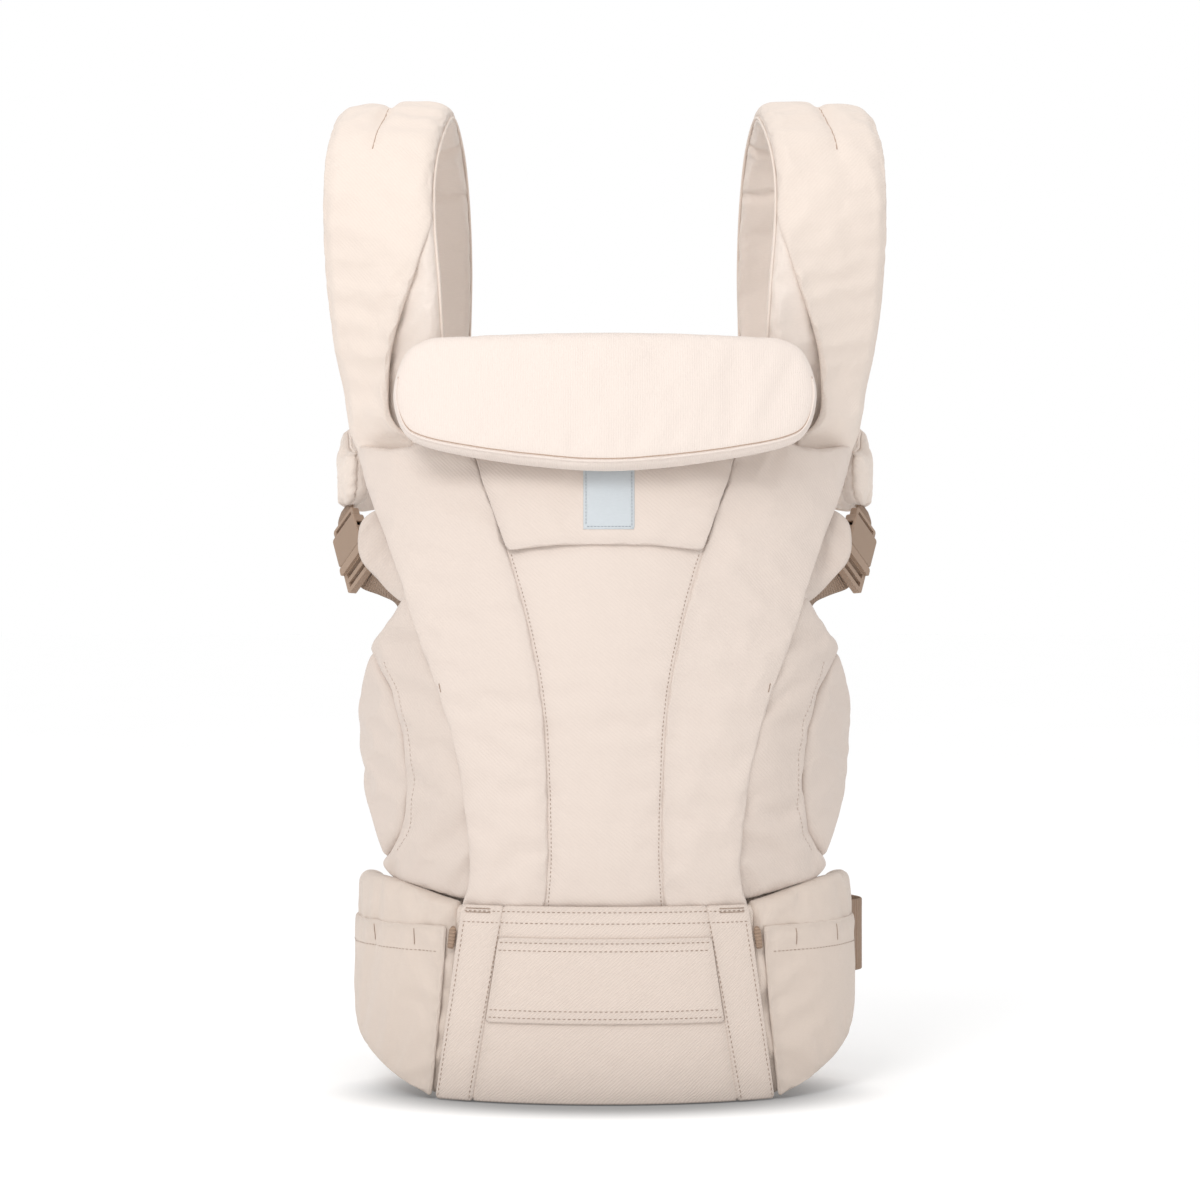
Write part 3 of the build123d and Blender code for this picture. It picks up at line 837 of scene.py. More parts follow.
def make_hood():
    pocket = both_outline([(0.5, 371.5), (32, 371), (64, 367.5), (72.5, 391), (81, 415), (91, 452)])
    flap = pad("hood_pocket_flap", PANEL.unroll(pocket), PANEL, 2.6, inset=-3.4, spacing=4, roll=1.6,
               crown=0.4, wrinkle=0.3, seed=41)
    finish_piece(flap, PANEL_COTTON_PAINTED_SHADE, "cover_fabric", ["hood_pocket"])
    cut_from(PANEL.unroll(pocket), PANEL)
    soften(flap, pressure=0.15, growth=0.006, cap=1.2)
    pack = both_outline([(54, 374.5), (59, 425)])
    cushion("stowed_hood_cloth", PANEL.unroll(pack), PANEL, 3.2, LINING, ["stowed_hood"], 0.3,
            slot="lining_fabric", body="hood_body", inset=-0.6, spacing=4, roll=1.8, wrinkle=0.8, seed=43)


def make_label(surface):
    corners = [(-14, 381.5), (19, 381.5), (19, 430), (-14, 430)]
    label = laid("label_cloth", PANEL.unroll(corners), PANEL, surface, thickness=0.7, lift=0.25,
                 spacing=2.5, roll=0.8, inset=-3.4)
    finish_piece(label, LABEL, "label_fabric", ["woven_label"])
    cut_from(PANEL.unroll(corners), PANEL)
    on = Surface(label)
    rows = []
    x0, x1, z0, z1 = -12.2, 17.2, 383.4, 430.0
    for ends in ([(x0, z1), (x0, z0)], [(x0, z0), (x1, z0)], [(x1, z0), (x1, z1)]):
        rows.append(on_surface(on, PANEL, PANEL.unroll(resample(ends, 4)), 0.1, -4.0))
    stitches("label_stitches", rows, BLUE_THREAD, slot="label_fabric", length=1.5, pitch=2.3, radius=0.22)


# ---- Headrest ------------------------------------------------------------------------------------

HEADREST_HALF = [(0, -85.5), (43, -82.3), (82, -76.3), (115, -68.4), (130, -59), (137, -40), (135, -22),
                 (126, -6.5), (109, 0)]


def headrest_outline():
    """The pillow's cut, a little larger than the filled pillow."""
    edge = smooth([(-HEADREST_HALF[1][0], HEADREST_HALF[1][1])] + HEADREST_HALF)[:-1]
    edge = edge[edge[:, 0] > 0.5] * np.array([1.015, 1.1]) + np.array([0, 4.6])
    return both_outline(edge)


def make_headrest():
    outline = headrest_outline()
    cushion("headrest_pillow", outline, headrest_chart, HEADREST_THICKNESS - 2, KNIT,
            ["headrest_front_cover", "headrest_foam"], 0.8, (1.1, 0.008, 4.0, "seam"), body="headrest_body",
            inset=1.0, spacing=4.5, roll=11, crown=0.8, wrinkle=0.25, seed=51)
    cushion("headrest_back", outline * 0.95 + np.array([0, -2.0]), headrest_chart, 2.4, LINING,
            ["headrest_back_cover"], 0.3, slot="lining_fabric", body="headrest_body", inset=19.2, spacing=6,
            roll=2)


# ---- Shoulder straps -----------------------------------------------------------------------------

# Middle surface of the left strap, (outer edge, inner edge), from its root over the shoulder to its end.
STRAP_STATIONS = [
    ((-167, -34, 444.5), (-108, -91, 444.5)), ((-175, -40, 478), (-110, -96, 478)),
    ((-182, -52, 514), (-112, -101, 514)), ((-186, -64, 550), (-113, -103, 550)),
    ((-188, -74, 586), (-115, -100, 586)), ((-188, -74, 618), (-115.5, -90, 619)),
    ((-186.5, -58, 647), (-112, -70, 649)), ((-182, -14, 672), (-106, -18, 675)),
    ((-177, 34, 655), (-101, 33, 657)), ((-172, 63, 620), (-98, 63, 621)),
    ((-170, 80, 575), (-97, 81, 575)), ((-170, 86, 530), (-98, 87, 530)),
    ((-171, 86, 490), (-99, 88, 482)), ((-175, 76, 467), (-110, 92, 438)),
    ((-181, 54, 457), (-143, 80, 408)), ((-185, 24, 450), (-173, 38, 399)),
    ((-184, 0, 443), (-182, 8, 399)), ((-181, -14, 437), (-182, -8, 401)),
    ((-177, -27, 437), (-178.5, -22, 401)), ((-171, -37, 437), (-172.5, -33, 402)),
]
STRAP_THICKNESS = 14.0
PEEL_TOP = 588.0  # height where the cover's inner edge starts to cross the strap


class Strap:
    """A strap's chart: w across from its middle, s along from its root, depth below its outer face."""

    def __init__(self, side):
        rows = np.array(STRAP_STATIONS, float).reshape(-1, 6)
        rows = smooth(rows, 2.0)
        if side > 0:
            rows[:, [0, 3]] *= -1
        self.outer, self.inner = rows[:, :3], rows[:, 3:]
        self.middle = (self.outer + self.inner) / 2
        self.s = run_along(self.middle)
        self.width = np.linalg.norm(self.inner - self.outer, axis=1)
        travel = np.gradient(self.middle, axis=0)
        out = np.cross(self.inner - self.outer, travel) * (1 if side < 0 else -1)
        for _ in range(8):
            out[1:-1] = (out[:-2] + 2 * out[1:-1] + out[2:]) / 4
        self.out = out / np.linalg.norm(out, axis=1, keepdims=True)
        self.length = self.s[-1]
        self.apex = self.s[np.argmax(self.middle[:, 2])]

    def read(self, rows, s):
        return np.stack([np.interp(s, self.s, column) for column in rows.T], axis=-1)

    def width_at(self, s):
        return np.interp(s, self.s, self.width)

    def s_at(self, z):
        """Distance along the front of the strap at a height."""
        top = np.argmax(self.middle[:, 2])
        return np.interp(z, self.middle[:top, 2], self.s[:top])

    def __call__(self, w, s, depth):
        share = 0.5 + w / self.width_at(s)
        outer, inner = self.read(self.outer, s), self.read(self.inner, s)
        beyond = np.clip(s, None, 0)[..., None] * np.array([0, 0, 1.0])
        place = outer + (inner - outer) * share[..., None] + beyond
        lift = STRAP_THICKNESS / 2 - depth - self.dart(w, s) - self.gather(w, s) - self.settled(s)
        return place + self.read(self.out, s) * lift[..., None]

    def settled(self, s):
        """How far the worn strap sinks: over the shoulder, down the back, and round at its end."""
        return (4.6 * np.exp(-((s - self.apex) / 75)**2) + 2.0 * ramp(s, self.apex + 50, self.apex + 90)
                + 3.5 * ramp(s, self.length - 95, self.length - 55))

    def dart_line(self, s):
        return -3 + 0.03 * (s - self.apex)

    def dart(self, w, s):
        """A sewn dart over the shoulder: it parts the strap into two lobes and dies out down the front."""
        run = np.clip((s - self.apex + 96) / 70, 0, 1) * np.clip((self.apex + 46 - s) / 40, 0, 1)
        away = np.abs(w - self.dart_line(s))
        return run * (6.5 * np.exp(-(away / 2.8)**1.2) - 1.0 * np.exp(-((away - 15) / 11)**2))

    def gather(self, w, s):
        """Small ruffles where the strap's end is drawn in round its webbing."""
        near = np.clip((s - self.length + 44) / 22, 0, 1)
        return 1.2 * near * np.sin(2 * np.pi * w / 6.3 + 0.9 * np.sin(s / 6.0))

    def edge(self, share, s, step=6.0):
        """Chart points up one edge, at a share of the width from the middle."""
        s = np.asarray(s, float)
        drawn_in = 1 - 0.34 * np.clip((s - self.length + 12) / 12, 0, 1)**2
        return np.stack([share * self.width_at(s) * drawn_in, s], axis=1)


STRAP_SEAMS, DART_SHADE_LINES = [], []


def make_strap(name, side):
    strap = Strap(side)
    rows = np.append(np.arange(0, strap.length, 8.0), strap.length)
    tucked = [strap.edge(0.45, [-12.0]), strap.edge(-0.38, [-12.0])]
    around = np.vstack([tucked[1], strap.edge(-0.5, rows[1:]), strap.edge(0.5, rows[1:][::-1]), tucked[0]])
    if side > 0:
        around = around[::-1]
    peel_s = strap.s_at(PEEL_TOP)

    def sunk(w, s, depth):
        """The padded strap drops back behind its cover low on the front."""
        low = np.clip((peel_s - s) / 70, 0, 1)
        from_apex = s - strap.apex
        folds = sum(size * np.exp(-((from_apex - at - lean * w) / 2.7)**2)
                    for at, lean, size in ((38, 0.1, 2.0), (52, -0.22, 4.4), (84, 0.16, 4.6)))
        return strap(w, s, depth + 3.5 * low - folds * ramp(depth, 8, 13))

    cushion(f"{name}_strap_pad", around, sunk, 13.0, LINING, [f"{name}_strap_foam", f"{name}_strap_lining"],
            0.7, (0.9, 0.018, 4.0, "seam"), slot="padding", inset=1.6, spacing=5, roll=6.5, crown=0.6,
            wrinkle=1.0, seed=61 + side)
    # The cover: full width over the shoulder, with an inner edge that crosses to the middle by the root.
    crossing = [(590, 0.5), (580, 0.475), (550, 0.336), (519, 0.17), (503, 0.091), (487, 0.035), (475, 0.01),
                (464, 0.007), (456, 0.03), (449, 0.08), (444.5, 0.13)]
    peel_path = [(share * strap.width_at(strap.s_at(z)), strap.s_at(z)) for z, share in crossing]
    peel_path.append((0.16 * strap.width_at(0), -10))
    peel_path = smooth(peel_path, 4)
    upper = rows[rows > peel_s + 4]
    outer = np.vstack([strap.edge(-0.43, [-10]), strap.edge(-0.49, [-2]), strap.edge(-0.525, rows[1:])])
    inner = np.vstack([strap.edge(0.5, upper[::-1]), peel_path])
    path = np.vstack([outer, inner])
    if side > 0:
        path = path[::-1]

    def proud(w, s, depth):
        """The cover's free edge stands off the strap below it."""
        free = np.interp(s, peel_path[::-1, 1], peel_path[::-1, 0])
        near = np.exp(-np.clip(free - w, 0, None) / 14) * np.clip((peel_s - s) / 45, 0, 1) * ramp(s, 0, 30)
        share = w / strap.width_at(s)
        root = 2.2 * np.exp(-((s - 18) / 12)**2) - 5 * (1 - ramp(s, -2, 10)) * ramp(share, -0.5, 0.0)
        wrap = 3.6 * ramp(np.abs(share), 0.41, 0.5) * ramp(s, 0, 20)
        return strap(w, s, depth - 2.5 * near - root + wrap)

    cover = cushion(f"{name}_strap_cover_cloth", path, proud, 5.5, COTTON, [f"{name}_strap_cover"], 0.6,
                    (0.8, 0.015, 3.0), inset=-1.4, spacing=4.0, roll=3.5, crown=1.0, wrinkle=0.9,
                    seed=71 + side)
    for share, edge in ((0.5, "inner"), (-0.5, "outer")):
        run = np.arange(4, strap.length - 14, 3.0)
        path = strap.edge(share, run)
        seam = sunk(*path.T, np.full(len(run), 8.1))
        outward = strap.read(strap.inner - strap.outer, run) * np.sign(share)
        outward /= np.linalg.norm(outward, axis=1, keepdims=True)
        STRAP_SEAMS.append((f"{name}_strap_{edge}_seam", seam + 0.5 * outward, outward))
    # The dart's crease, later drawn as a dark thread line: painted shadow in the crease.
    run = np.arange(strap.apex - 74, strap.apex + 30, 3.0)
    DART_SHADE_LINES.append((f"{name}_strap_dart", strap, np.column_stack([strap.dart_line(run), run]), cover))


# ---- Side tabs -----------------------------------------------------------------------------------


def tab_chart(side):
    """The flat frame of a side tab: u outwards, v up, depth behind its front face."""
    c9, s9 = math.cos(math.radians(9)), math.sin(math.radians(9))
    c15, s15 = math.cos(math.radians(-15)), math.sin(math.radians(-15))

    def chart(u, v, depth):
        depth = depth - 17 * (np.clip(10 - u, 0, None) / 22)**1.6
        x, y = u * c9 - depth * s9, u * s9 + depth * c9
        return np.stack([side * (139 + x), -72 + y * c15 - v * s15, 336 + y * s15 + v * c15], axis=-1)

    return chart


def make_side_tab(name, side):
    outline = smooth([(-12, -7), (-3, -4), (8, 6), (18, 17), (26, 26), (29.5, 35), (30, 46), (28.5, 55),
                      (23, 61), (14, 64.5), (-12, 67)], 2)
    if side < 0:
        outline = outline[::-1]
    cushion(f"{name}_tab", outline, tab_chart(side), 7.5, SIDE_COTTON_PAINTED_SHADE, [f"{name}_side_tab"], 0.65,
            (0.9, 0.02, 2.5, "seam"), inset=-1.2, spacing=3.0, roll=5, crown=0.6, wrinkle=0.7, seed=81 + side)


# ---- Belt ----------------------------------------------------------------------------------------

STRIP_INNER = [(88.5, 0), (67.5, BELT_TOP)]
STRIP_OUTER = [(114.6, 0), (96.5, BELT_TOP)]
POCKET_EDGE = [(116.5, 0), (109.5, 69), (105.8, 117)]
POCKET_END_Y = 8.0
BELT_END_Y = 52.0
WING_SIDE = [(-92, 2), (-74, 12), (-55, 23), (-28, 37), (-5, 50), (20, 58.5), (40, 67), (BELT_END_Y, 82),
             (BELT_END_Y, 122), (40, 138), (20, 145), (-20, 147), (-58, 146), (-80, 141),
             (-101, BELT_TOP + 1)]
FLOOR = 0.6  # lowest height of the belt's cloth


def make_belt_front():
    lower = both_outline(BELT.unroll([(0.1, 0.3), (104, 0.3), (104, BELT_TOP - 1), (0.1, BELT_TOP - 1)]))
    cushion("belt_front_core", lower, BELT, 12.0, PADDING, ["belt_front_pad"], 0.8, slot="padding",
            inset=4.0, spacing=6, roll=4)
    seam = BELT.unroll(resample([(x + 1.6, max(z, FLOOR)) for x, z in STRIP_INNER], 12))
    cover = cushion("belt_front_cloth", both_outline(seam), BELT, 2.6, TWILL, ["belt_front_cover"], 0.3,
                    inset=0.9, spacing=5, roll=1.6, crown=0.3, wrinkle=0.25, seed=91)
    band = BELT.unroll(resample([(79.5, 54), (70.8, 111)], 8))
    pocket = pad("belt_band_cloth", both_outline(band), BELT, 2.0, inset=-1.3, spacing=4.5, roll=1.1,
                 crown=0.25, wrinkle=0.2, seed=93)
    finish_piece(pocket, TWILL, "cover_fabric", ["belt_band"])
    cut_from(both_outline(band), BELT)
    strips = []
    for name, side in SIDES.items():
        inner = BELT.unroll(resample([(x, max(z, FLOOR)) for x, z in STRIP_INNER], 12))
        outer = BELT.unroll(resample([(x, max(z, FLOOR)) for x, z in STRIP_OUTER], 12))
        outline = np.vstack([outer, inner[::-1]])
        if side < 0:
            outline = mirror_x(outline)
        strips.append(cushion(f"belt_strip_{name}", outline, BELT, 3.4, TWILL, (), 0.3, inset=-0.3,
                              spacing=4, roll=1.8, crown=0.4, wrinkle=0.3, seed=95 + side))
    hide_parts("belt_strips")
    return cover, pocket, strips


def make_belt_side(name, side):
    wing = [(-101, BELT_TOP - 1.5), (-103, 60), (-92, 1.5)]
    loop = np.vstack([smooth(WING_SIDE, 3), wing[:2]])
    outline = BELT.from_side(loop, side)
    body = cushion(f"{name}_belt_pad", outline, BELT, 13.0, JERSEY, [f"{name}_belt_wing"], 0.7,
                   (0.9, 0.018, 4.5), inset=3.2, spacing=5, roll=8, crown=1.0, wrinkle=0.9, seed=101 + side)
    lower = [(y, max(z, FLOOR + 0.8)) for y, z in WING_SIDE[:5]] + [(POCKET_END_Y, 54.5)]
    edge = BELT.from_side(smooth(lower, 4), side)
    front = BELT.unroll(resample(POCKET_EDGE[::-1], 12), 1) * np.array([side, 1])
    front[-1, 1] = FLOOR + 0.6
    top = BELT.from_side(resample([(POCKET_END_Y, 117), (-100, 117)], 10), side)
    edge = edge[np.abs(edge[:, 0]) > abs(front[-1, 0]) + 3]
    path = np.vstack([edge, top[np.abs(top[:, 0]) > abs(front[0, 0]) + 3], front])
    pocket = pad(f"{name}_pocket", path, BELT, 2.6, inset=-0.4, spacing=4.5, roll=1.8, crown=0.5, wrinkle=0.5,
                 seed=111 + side)
    finish_piece(pocket, JERSEY, "cover_fabric", [f"{name}_belt_pocket"])
    cut_from(path, BELT)
    soften(pocket, pressure=0.2, growth=0.012, cap=2.0)


# ---- Back of the belt ----------------------------------------------------------------------------


def back_chart(u, v, depth):
    """The belt's chart from behind: u across from the middle of the back."""
    return BELT(math.pi * BELT.UNROLL - np.asarray(u, float), v, depth)


def make_lumbar_pad():
    """A cushion against the back, and a sleeve sewn over it that the waist webbing slides through."""
    outline = both_outline([(0.1, 0.8), (61, 0.8), (70, 12), (71, 75), (70, 141), (61, 153.5), (0.1, 153.5)])
    cushion("lumbar_cushion", outline, back_chart, 12.0, PADDING, ["lumbar_pad"], 0.7, (0.7, 0.012, 2.0),
            slot="padding", inset=2.6, spacing=5, roll=7, crown=0.6, wrinkle=0.6, seed=121)
    half = WAIST_WEBBING / 2 + 9

    def over_webbing(u, v, depth):
        away = np.abs(np.asarray(v, float) - WAIST_WEBBING_Z)
        sunk = np.clip((away - WAIST_WEBBING / 2 - 1.5) / 7, 0, 1)
        return back_chart(u, v, depth + 5.2 * sunk * sunk * (3 - 2 * sunk))

    edges = [(0.1, WAIST_WEBBING_Z - half), (66.5, WAIST_WEBBING_Z - half), (66.5, WAIST_WEBBING_Z + half),
             (0.1, WAIST_WEBBING_Z + half)]
    cushion("lumbar_sleeve", both_outline(edges), over_webbing, 2.0, TWILL, (), 0.2, inset=-4.4, spacing=4.5,
            roll=1.2, crown=0.3, wrinkle=0.4, seed=123)


# ---- Webbing -------------------------------------------------------------------------------------


def band(name, path, across, width, material, slot, replaced=(), body=ROOT, thickness=1.4):
    """Flat webbing along a path, rounded at its selvedges. across points from edge to edge."""
    path = resample(path, 2.0)
    along = np.gradient(path, axis=0)
    across = np.asarray(across, float)
    if across.ndim == 1:
        across = np.tile(across, (len(path), 1))
    across /= np.linalg.norm(across, axis=1, keepdims=True)
    normal = np.cross(across, along)
    normal /= np.linalg.norm(normal, axis=1, keepdims=True)
    half, thick = width / 2, thickness / 2
    section = [(-half, -0.3), (-half, 0.3), (-half + 0.7, 1), (-half * 0.4, 0.92), (half * 0.4, 0.92),
               (half - 0.7, 1), (half, 0.3), (half, -0.3), (half - 0.7, -1), (half * 0.4, -0.92),
               (-half * 0.4, -0.92), (-half + 0.7, -1)]
    run = run_along(path)
    points, flat = [], []
    for w, t in section:
        points.append(path + across * w + normal * t * thick)
        flat.append(np.stack([np.full(len(path), w), run], axis=1))
    obj = add_mesh(name, np.vstack(points), skin(len(path), len(section)), cloth=np.vstack(flat))
    return finish_piece(obj, material, slot, replaced, body)


SOCKET_TAIL = 30.5  # from a 25 mm buckle's mouth back to its strap bar
BUCKLE_HALF_THICK, WEBBING_GAP, WEBBING_HALF_THICK = 4.5, 0.5, 0.7


def buckle_scale(webbing):
    """How much larger a buckle for this webbing is than one for the straps' webbing."""
    return 0.62 + 0.38 * webbing / STRAP_WEBBING


def webbing_lift(webbing):
    """From a buckle's middle to the middle of the webbing that lies under it."""
    return BUCKLE_HALF_THICK * buckle_scale(webbing) + WEBBING_GAP + WEBBING_HALF_THICK


class BuckleFrame:
    """A buckle's place: the plug leaves along x, z points out of its face."""

    def __init__(self, origin, x, z, webbing):
        x = np.asarray(x, float) / np.linalg.norm(x)
        z = np.asarray(z, float) - x * np.dot(z, x)
        self.x, self.z = x, z / np.linalg.norm(z)
        self.y = np.cross(self.z, self.x)
        self.origin = np.asarray(origin, float)
        self.tail = -SOCKET_TAIL * buckle_scale(webbing)
        self.under = -webbing_lift(webbing)

    def __call__(self, x, z=0.0):
        return self.origin + self.x * x + self.z * z


def make_side_webbing(name, side):
    place = BuckleFrame((172.5, -28.6, 366), (-0.25, -0.52, -0.817), (0.85, -0.5, 0.1), STRAP_WEBBING)
    flip = np.array([side, 1, 1])
    top = smooth([place(place.tail - 15, -6), place(place.tail - 6, -1.5), place(place.tail + 2.5)]) * flip
    band(f"{name}_strap_band", top, place.y * flip, STRAP_WEBBING - 1, WEBBING, "webbing",
         [f"{name}_strap_webbing"])
    low = [place(9.5, 0), place(13, place.under * 0.6), place(20, place.under),
           (152, -49.5, 342), (142, -56.5, 336), (136, -62, 326), (134, -65, 315), (133, -67.5, 303)]
    low = smooth(low)
    twist = np.sin(np.pi * np.linspace(0, 1, len(low)))[:, None]**2
    across = place.y * (1 - twist) + np.array([0.05, 0.95, -0.28]) * twist
    lower = band(f"{name}_tab_band", low * flip, across * flip, STRAP_WEBBING - 1, WEBBING, "webbing",
                 [f"{name}_tab_webbing"], body=None)
    tuple(place(21) * flip * MM)
    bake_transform(lower)


def make_chest_webbing():
    place = BuckleFrame((-9, 102, CHEST_Z), (1, 0, 0), (0, 1, 0), STRAP_WEBBING * 0.8)
    width = STRAP_WEBBING * 0.8 - 1
    slot_x = RAIL_X - 14
    left = [place(9 - slot_x - 1, -2.5), place(9 - slot_x + 4, -0.6), place(9 - slot_x + 14),
            place(place.tail + 2.3)]
    band("left_chest_band", smooth(left), place.y, width, WEBBING, "webbing", ["left_chest_webbing"],
         "chest_left_body")
    right = [place(9, 0), place(12.5, place.under * 0.6), place(19, place.under), place(slot_x, place.under),
             place(slot_x + 9 + 1, place.under + 2.2)]
    right = band("right_chest_band", smooth(right), place.y, width, WEBBING, "webbing",
                 ["right_chest_webbing"], body=None)
    tuple(place(22) * MM)
    tuple(place(slot_x - 4) * MM)
    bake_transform(right)


WING_END, PAD_END, BUCKLE_AT = np.array([-153.0, 52.0]), np.array([-74.0, 138.5]), 46.0


def make_waist_webbing():
    straight = (WING_END - PAD_END) / np.linalg.norm(WING_END - PAD_END)
    plan = [(167.5, -8), (171.3, 2), (173.8, 9), (178.4, 16), (181.0, 25), (178.2, 40), (166.5, 60),
            (121, 96), (74, 138.5), (38, 148.5), (0, 151.5), (-38, 148.5), tuple(PAD_END)]
    plan = smooth(plan + [tuple(PAD_END + straight * run) for run in (12, 36, 60)])
    path = np.column_stack([plan, np.full(len(plan), WAIST_WEBBING_Z)])
    band("waist_band", path, (0, 0, 1), WAIST_WEBBING, WEBBING, "webbing", ["waist_webbing"])
    outward = np.array([-straight[1], straight[0], 0])
    along = -np.append(straight, 0)
    mouth = np.append(WING_END, WAIST_WEBBING_Z) + along * BUCKLE_AT + outward * webbing_lift(WAIST_WEBBING)
    place = BuckleFrame(mouth, along, outward, WAIST_WEBBING)
    short = [place(place.tail - 14, -6), place(place.tail - 6, -1.5), place(place.tail + 3)]
    band("waist_short_band", smooth(short), (0, 0, 1), WAIST_WEBBING - 2, WEBBING, "webbing",
         ["waist_short_webbing"])


# ---- Trim and stitching --------------------------------------------------------------------------


def make_neck():
    """The strip of lining that joins the panel's top edge to the headrest."""

    def chart(u, v, depth):
        u, v = np.asarray(u, float), np.asarray(v, float)
        share = v / 22.0
        low = PANEL(PANEL.UNROLL * np.arcsin(u / 183.0), 494 + 0 * u, 4 + depth)
        high = headrest_chart(u, -3 + 0 * u, 15.5 - depth)
        arch = 5.0 * np.sin(np.pi * np.clip(share, 0, 1))
        return low + (high - low) * share[..., None] + arch[..., None] * np.array([0, 0, 1.0])

    outline = both_outline([(0.1, 0), (97, 0), (96, 22), (0.1, 22)])
    return cushion("headrest_neck", outline, chart, 2.0, KNIT, (), 0.2, body=None, spacing=4, roll=1.2)


def make_elastics():
    """Elastic along the pocket's mouth: it shows where the pocket stops short of the strip."""
    for name, side in SIDES.items():
        corners = [(101.4, 101.5), (105.6, 101.8), (104.2, 114.5), (102.6, 117.4), (100.2, 117.2),
                   (99.4, 114.5)]
        outline = BELT.unroll(corners) * np.array([side, 1])
        elastic = pad(f"{name}_elastic", outline, BELT, 3.0, inset=-1.4, spacing=1.6, roll=1.5)
        finish_piece(elastic, ELASTIC, "elastic")
    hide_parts("pocket_elastics")


def make_stitches():
    """Every row of thread, laid on the finished cloth."""
    centre, belt = Surface(MADE["centre_panel_cloth"]), Surface(BELT_COVER, BELT_BAND, *BELT_STRIPS)
    rows = []
    for side in (1, -1):
        line = PANEL.unroll(smooth([p for p in SEAM if p[1] < 369]))
        line = (line - np.array([1.0, 0])) * np.array([side, 1])
        rows.append(on_surface(centre, PANEL, line, 0.1, 2.0))
    stitches("panel_stitches", rows, THREAD, length=1.7, pitch=2.9, radius=0.25)
    rows = []
    for z, reach in ((BELT_TOP - 4.0, 94.5), (BELT_TOP - 11.5, 95.5)):
        rows.append(on_surface(belt, BELT, BELT.unroll(resample([(-reach, z), (reach, z)], 4)), 0.1))
    for z in (107.6, 102.4, 62.6, 57.6):
        edge = np.interp(z, [54, 111], [78.6, 69.9])
        rows.append(on_surface(belt, BELT, BELT.unroll(resample([(-edge, z), (edge, z)], 4)), 0.1, -1))
    for side in (1, -1):
        for (low, high), step in ((STRIP_INNER, 2.4), (STRIP_OUTER, -2.6)):
            line = BELT.unroll(resample([(low[0] + step, 2), (high[0] + step, BELT_TOP - 12)], 4))
            rows.append(on_surface(belt, BELT, line * np.array([side, 1]), 0.1))
    stitches("belt_stitches", rows, THREAD, radius=0.29)
    make_bar_tacks(belt)
    for name, side in SIDES.items():
        make_side_stitches(name, side)


def make_bar_tacks(belt):
    """Dense zigzags where a seam takes a pull: at the strips' tops and on the pockets' hems."""
    rows = []
    for side in (1, -1):
        for z in (BELT_TOP - 2.4, BELT_TOP - 4.9):
            line = BELT.unroll(resample([(76, z), (93, z)], 3)) * np.array([side, 1])
            rows.append(on_surface(belt, BELT, line, 0.15))
    for name, side in SIDES.items():
        pocket = Surface(MADE[f"{name}_pocket"])
        for x in (128, 157):
            line = BELT.unroll([(x, 114), (x, 103)]) * np.array([side, 1])
            rows.append(on_surface(pocket, BELT, line, 0.15))
        yoke = Surface(MADE[f"{name}_yoke"])
        line = PANEL.unroll(resample([(110.5, 279.5), (109.0, 273.5)], 2)) * np.array([side, 1])
        rows.append(on_surface(yoke, PANEL, line, 0.15, 1.0))
    stitches("bar_tacks", rows, THREAD, length=1.1, pitch=1.0, radius=0.36)


def make_side_stitches(name, side):
    pocket = Surface(MADE[f"{name}_pocket"])
    hem = BELT.from_side(resample([(POCKET_END_Y - 2, 99.5), (-100, 99.5)], 4), side)
    hem = hem[np.abs(hem[:, 0]) > BELT.unroll([(108.5, 99.5)])[0, 0]]
    stitches(f"{name}_hem_stitches", [on_surface(pocket, BELT, hem, 0.1)], THREAD, radius=0.28)
    wing = Surface(MADE[f"{name}_seat_wing_cloth"])
    seam = PANEL.unroll(smooth(BOLSTER_SEAM)) - np.array([2.6, 0])
    row = on_surface(wing, PANEL, seam[4:-4] * np.array([side, 1]), 0.1, 4.0)
    stitches(f"{name}_leg_stitches", [row], PALE_THREAD, radius=0.28)


def make_piping(surface):
    """A corded seam a little inside the pillow's lower edge."""
    outline = headrest_outline()
    line = outline + inward(outline) * 4.2
    line = line[line[:, 1] < -24]
    line = line[np.argsort(np.arctan2(line[:, 1] + 20, line[:, 0]))]
    places, normals = surface.on_chart(headrest_chart, line, 0.15, 0, 16)
    cord = tube("headrest_piping", places, 0.85, even_normals(normals))
    finish_piece(cord, KNIT, "cover_fabric", body="headrest_body")
    # A thin dark thread line just above the cord: partly the seam's stitching, partly painted shadow of its
    # groove.
    line = line + np.array([0, 1.5])
    places, normals = surface.on_chart(headrest_chart, line, -0.12, 0, 16)
    thread = tube("headrest_seam_shadow_line", places, 0.42, even_normals(normals))
    finish_piece(thread, THREAD, "cover_fabric", body="headrest_body")


def make_strap_seams():
    """The ridge where a strap's cover and lining are joined."""
    for name, path, outward in STRAP_SEAMS:
        ridge = tube(name, path, 1.0, outward)
        finish_piece(ridge, COTTON, "cover_fabric")
    # Dark thread lines along the darts: painted shadow in their creases.
    for name, strap, line, cover in DART_SHADE_LINES:
        places, normals = Surface(cover).on_chart(strap, line, -0.15, 2.0)
        finish_piece(tube(name, places, 0.45, even_normals(normals), sides=6), THREAD, "cover_fabric")


# ---- Camera, light and floor ---------------------------------------------------------------------


CAMERA_PLACE, CAMERA_LENS, CAMERA_SENSOR = (-0.0033, -2.33, 0.335), 100, 36
FLOOR_RADIUS, FLOOR_SIDES = 30, 64
SHADE_HALF, SHADE_FORWARD = (0.12, 0.08), 0.06  # the contact shade's half-sizes, and how far it is forward


def area_light(name, place, target, size, power):
    data = bpy.data.lights.new(name, "AREA")
    data.shape = "DISK"
    data.size = size
    data.energy = power
    light = bpy.data.objects.new(name, data)
    light.location = place
    bpy.context.scene.collection.objects.link(light)
    light.rotation_euler = (Vector(target) - light.location).to_track_quat("-Z", "Y").to_euler()


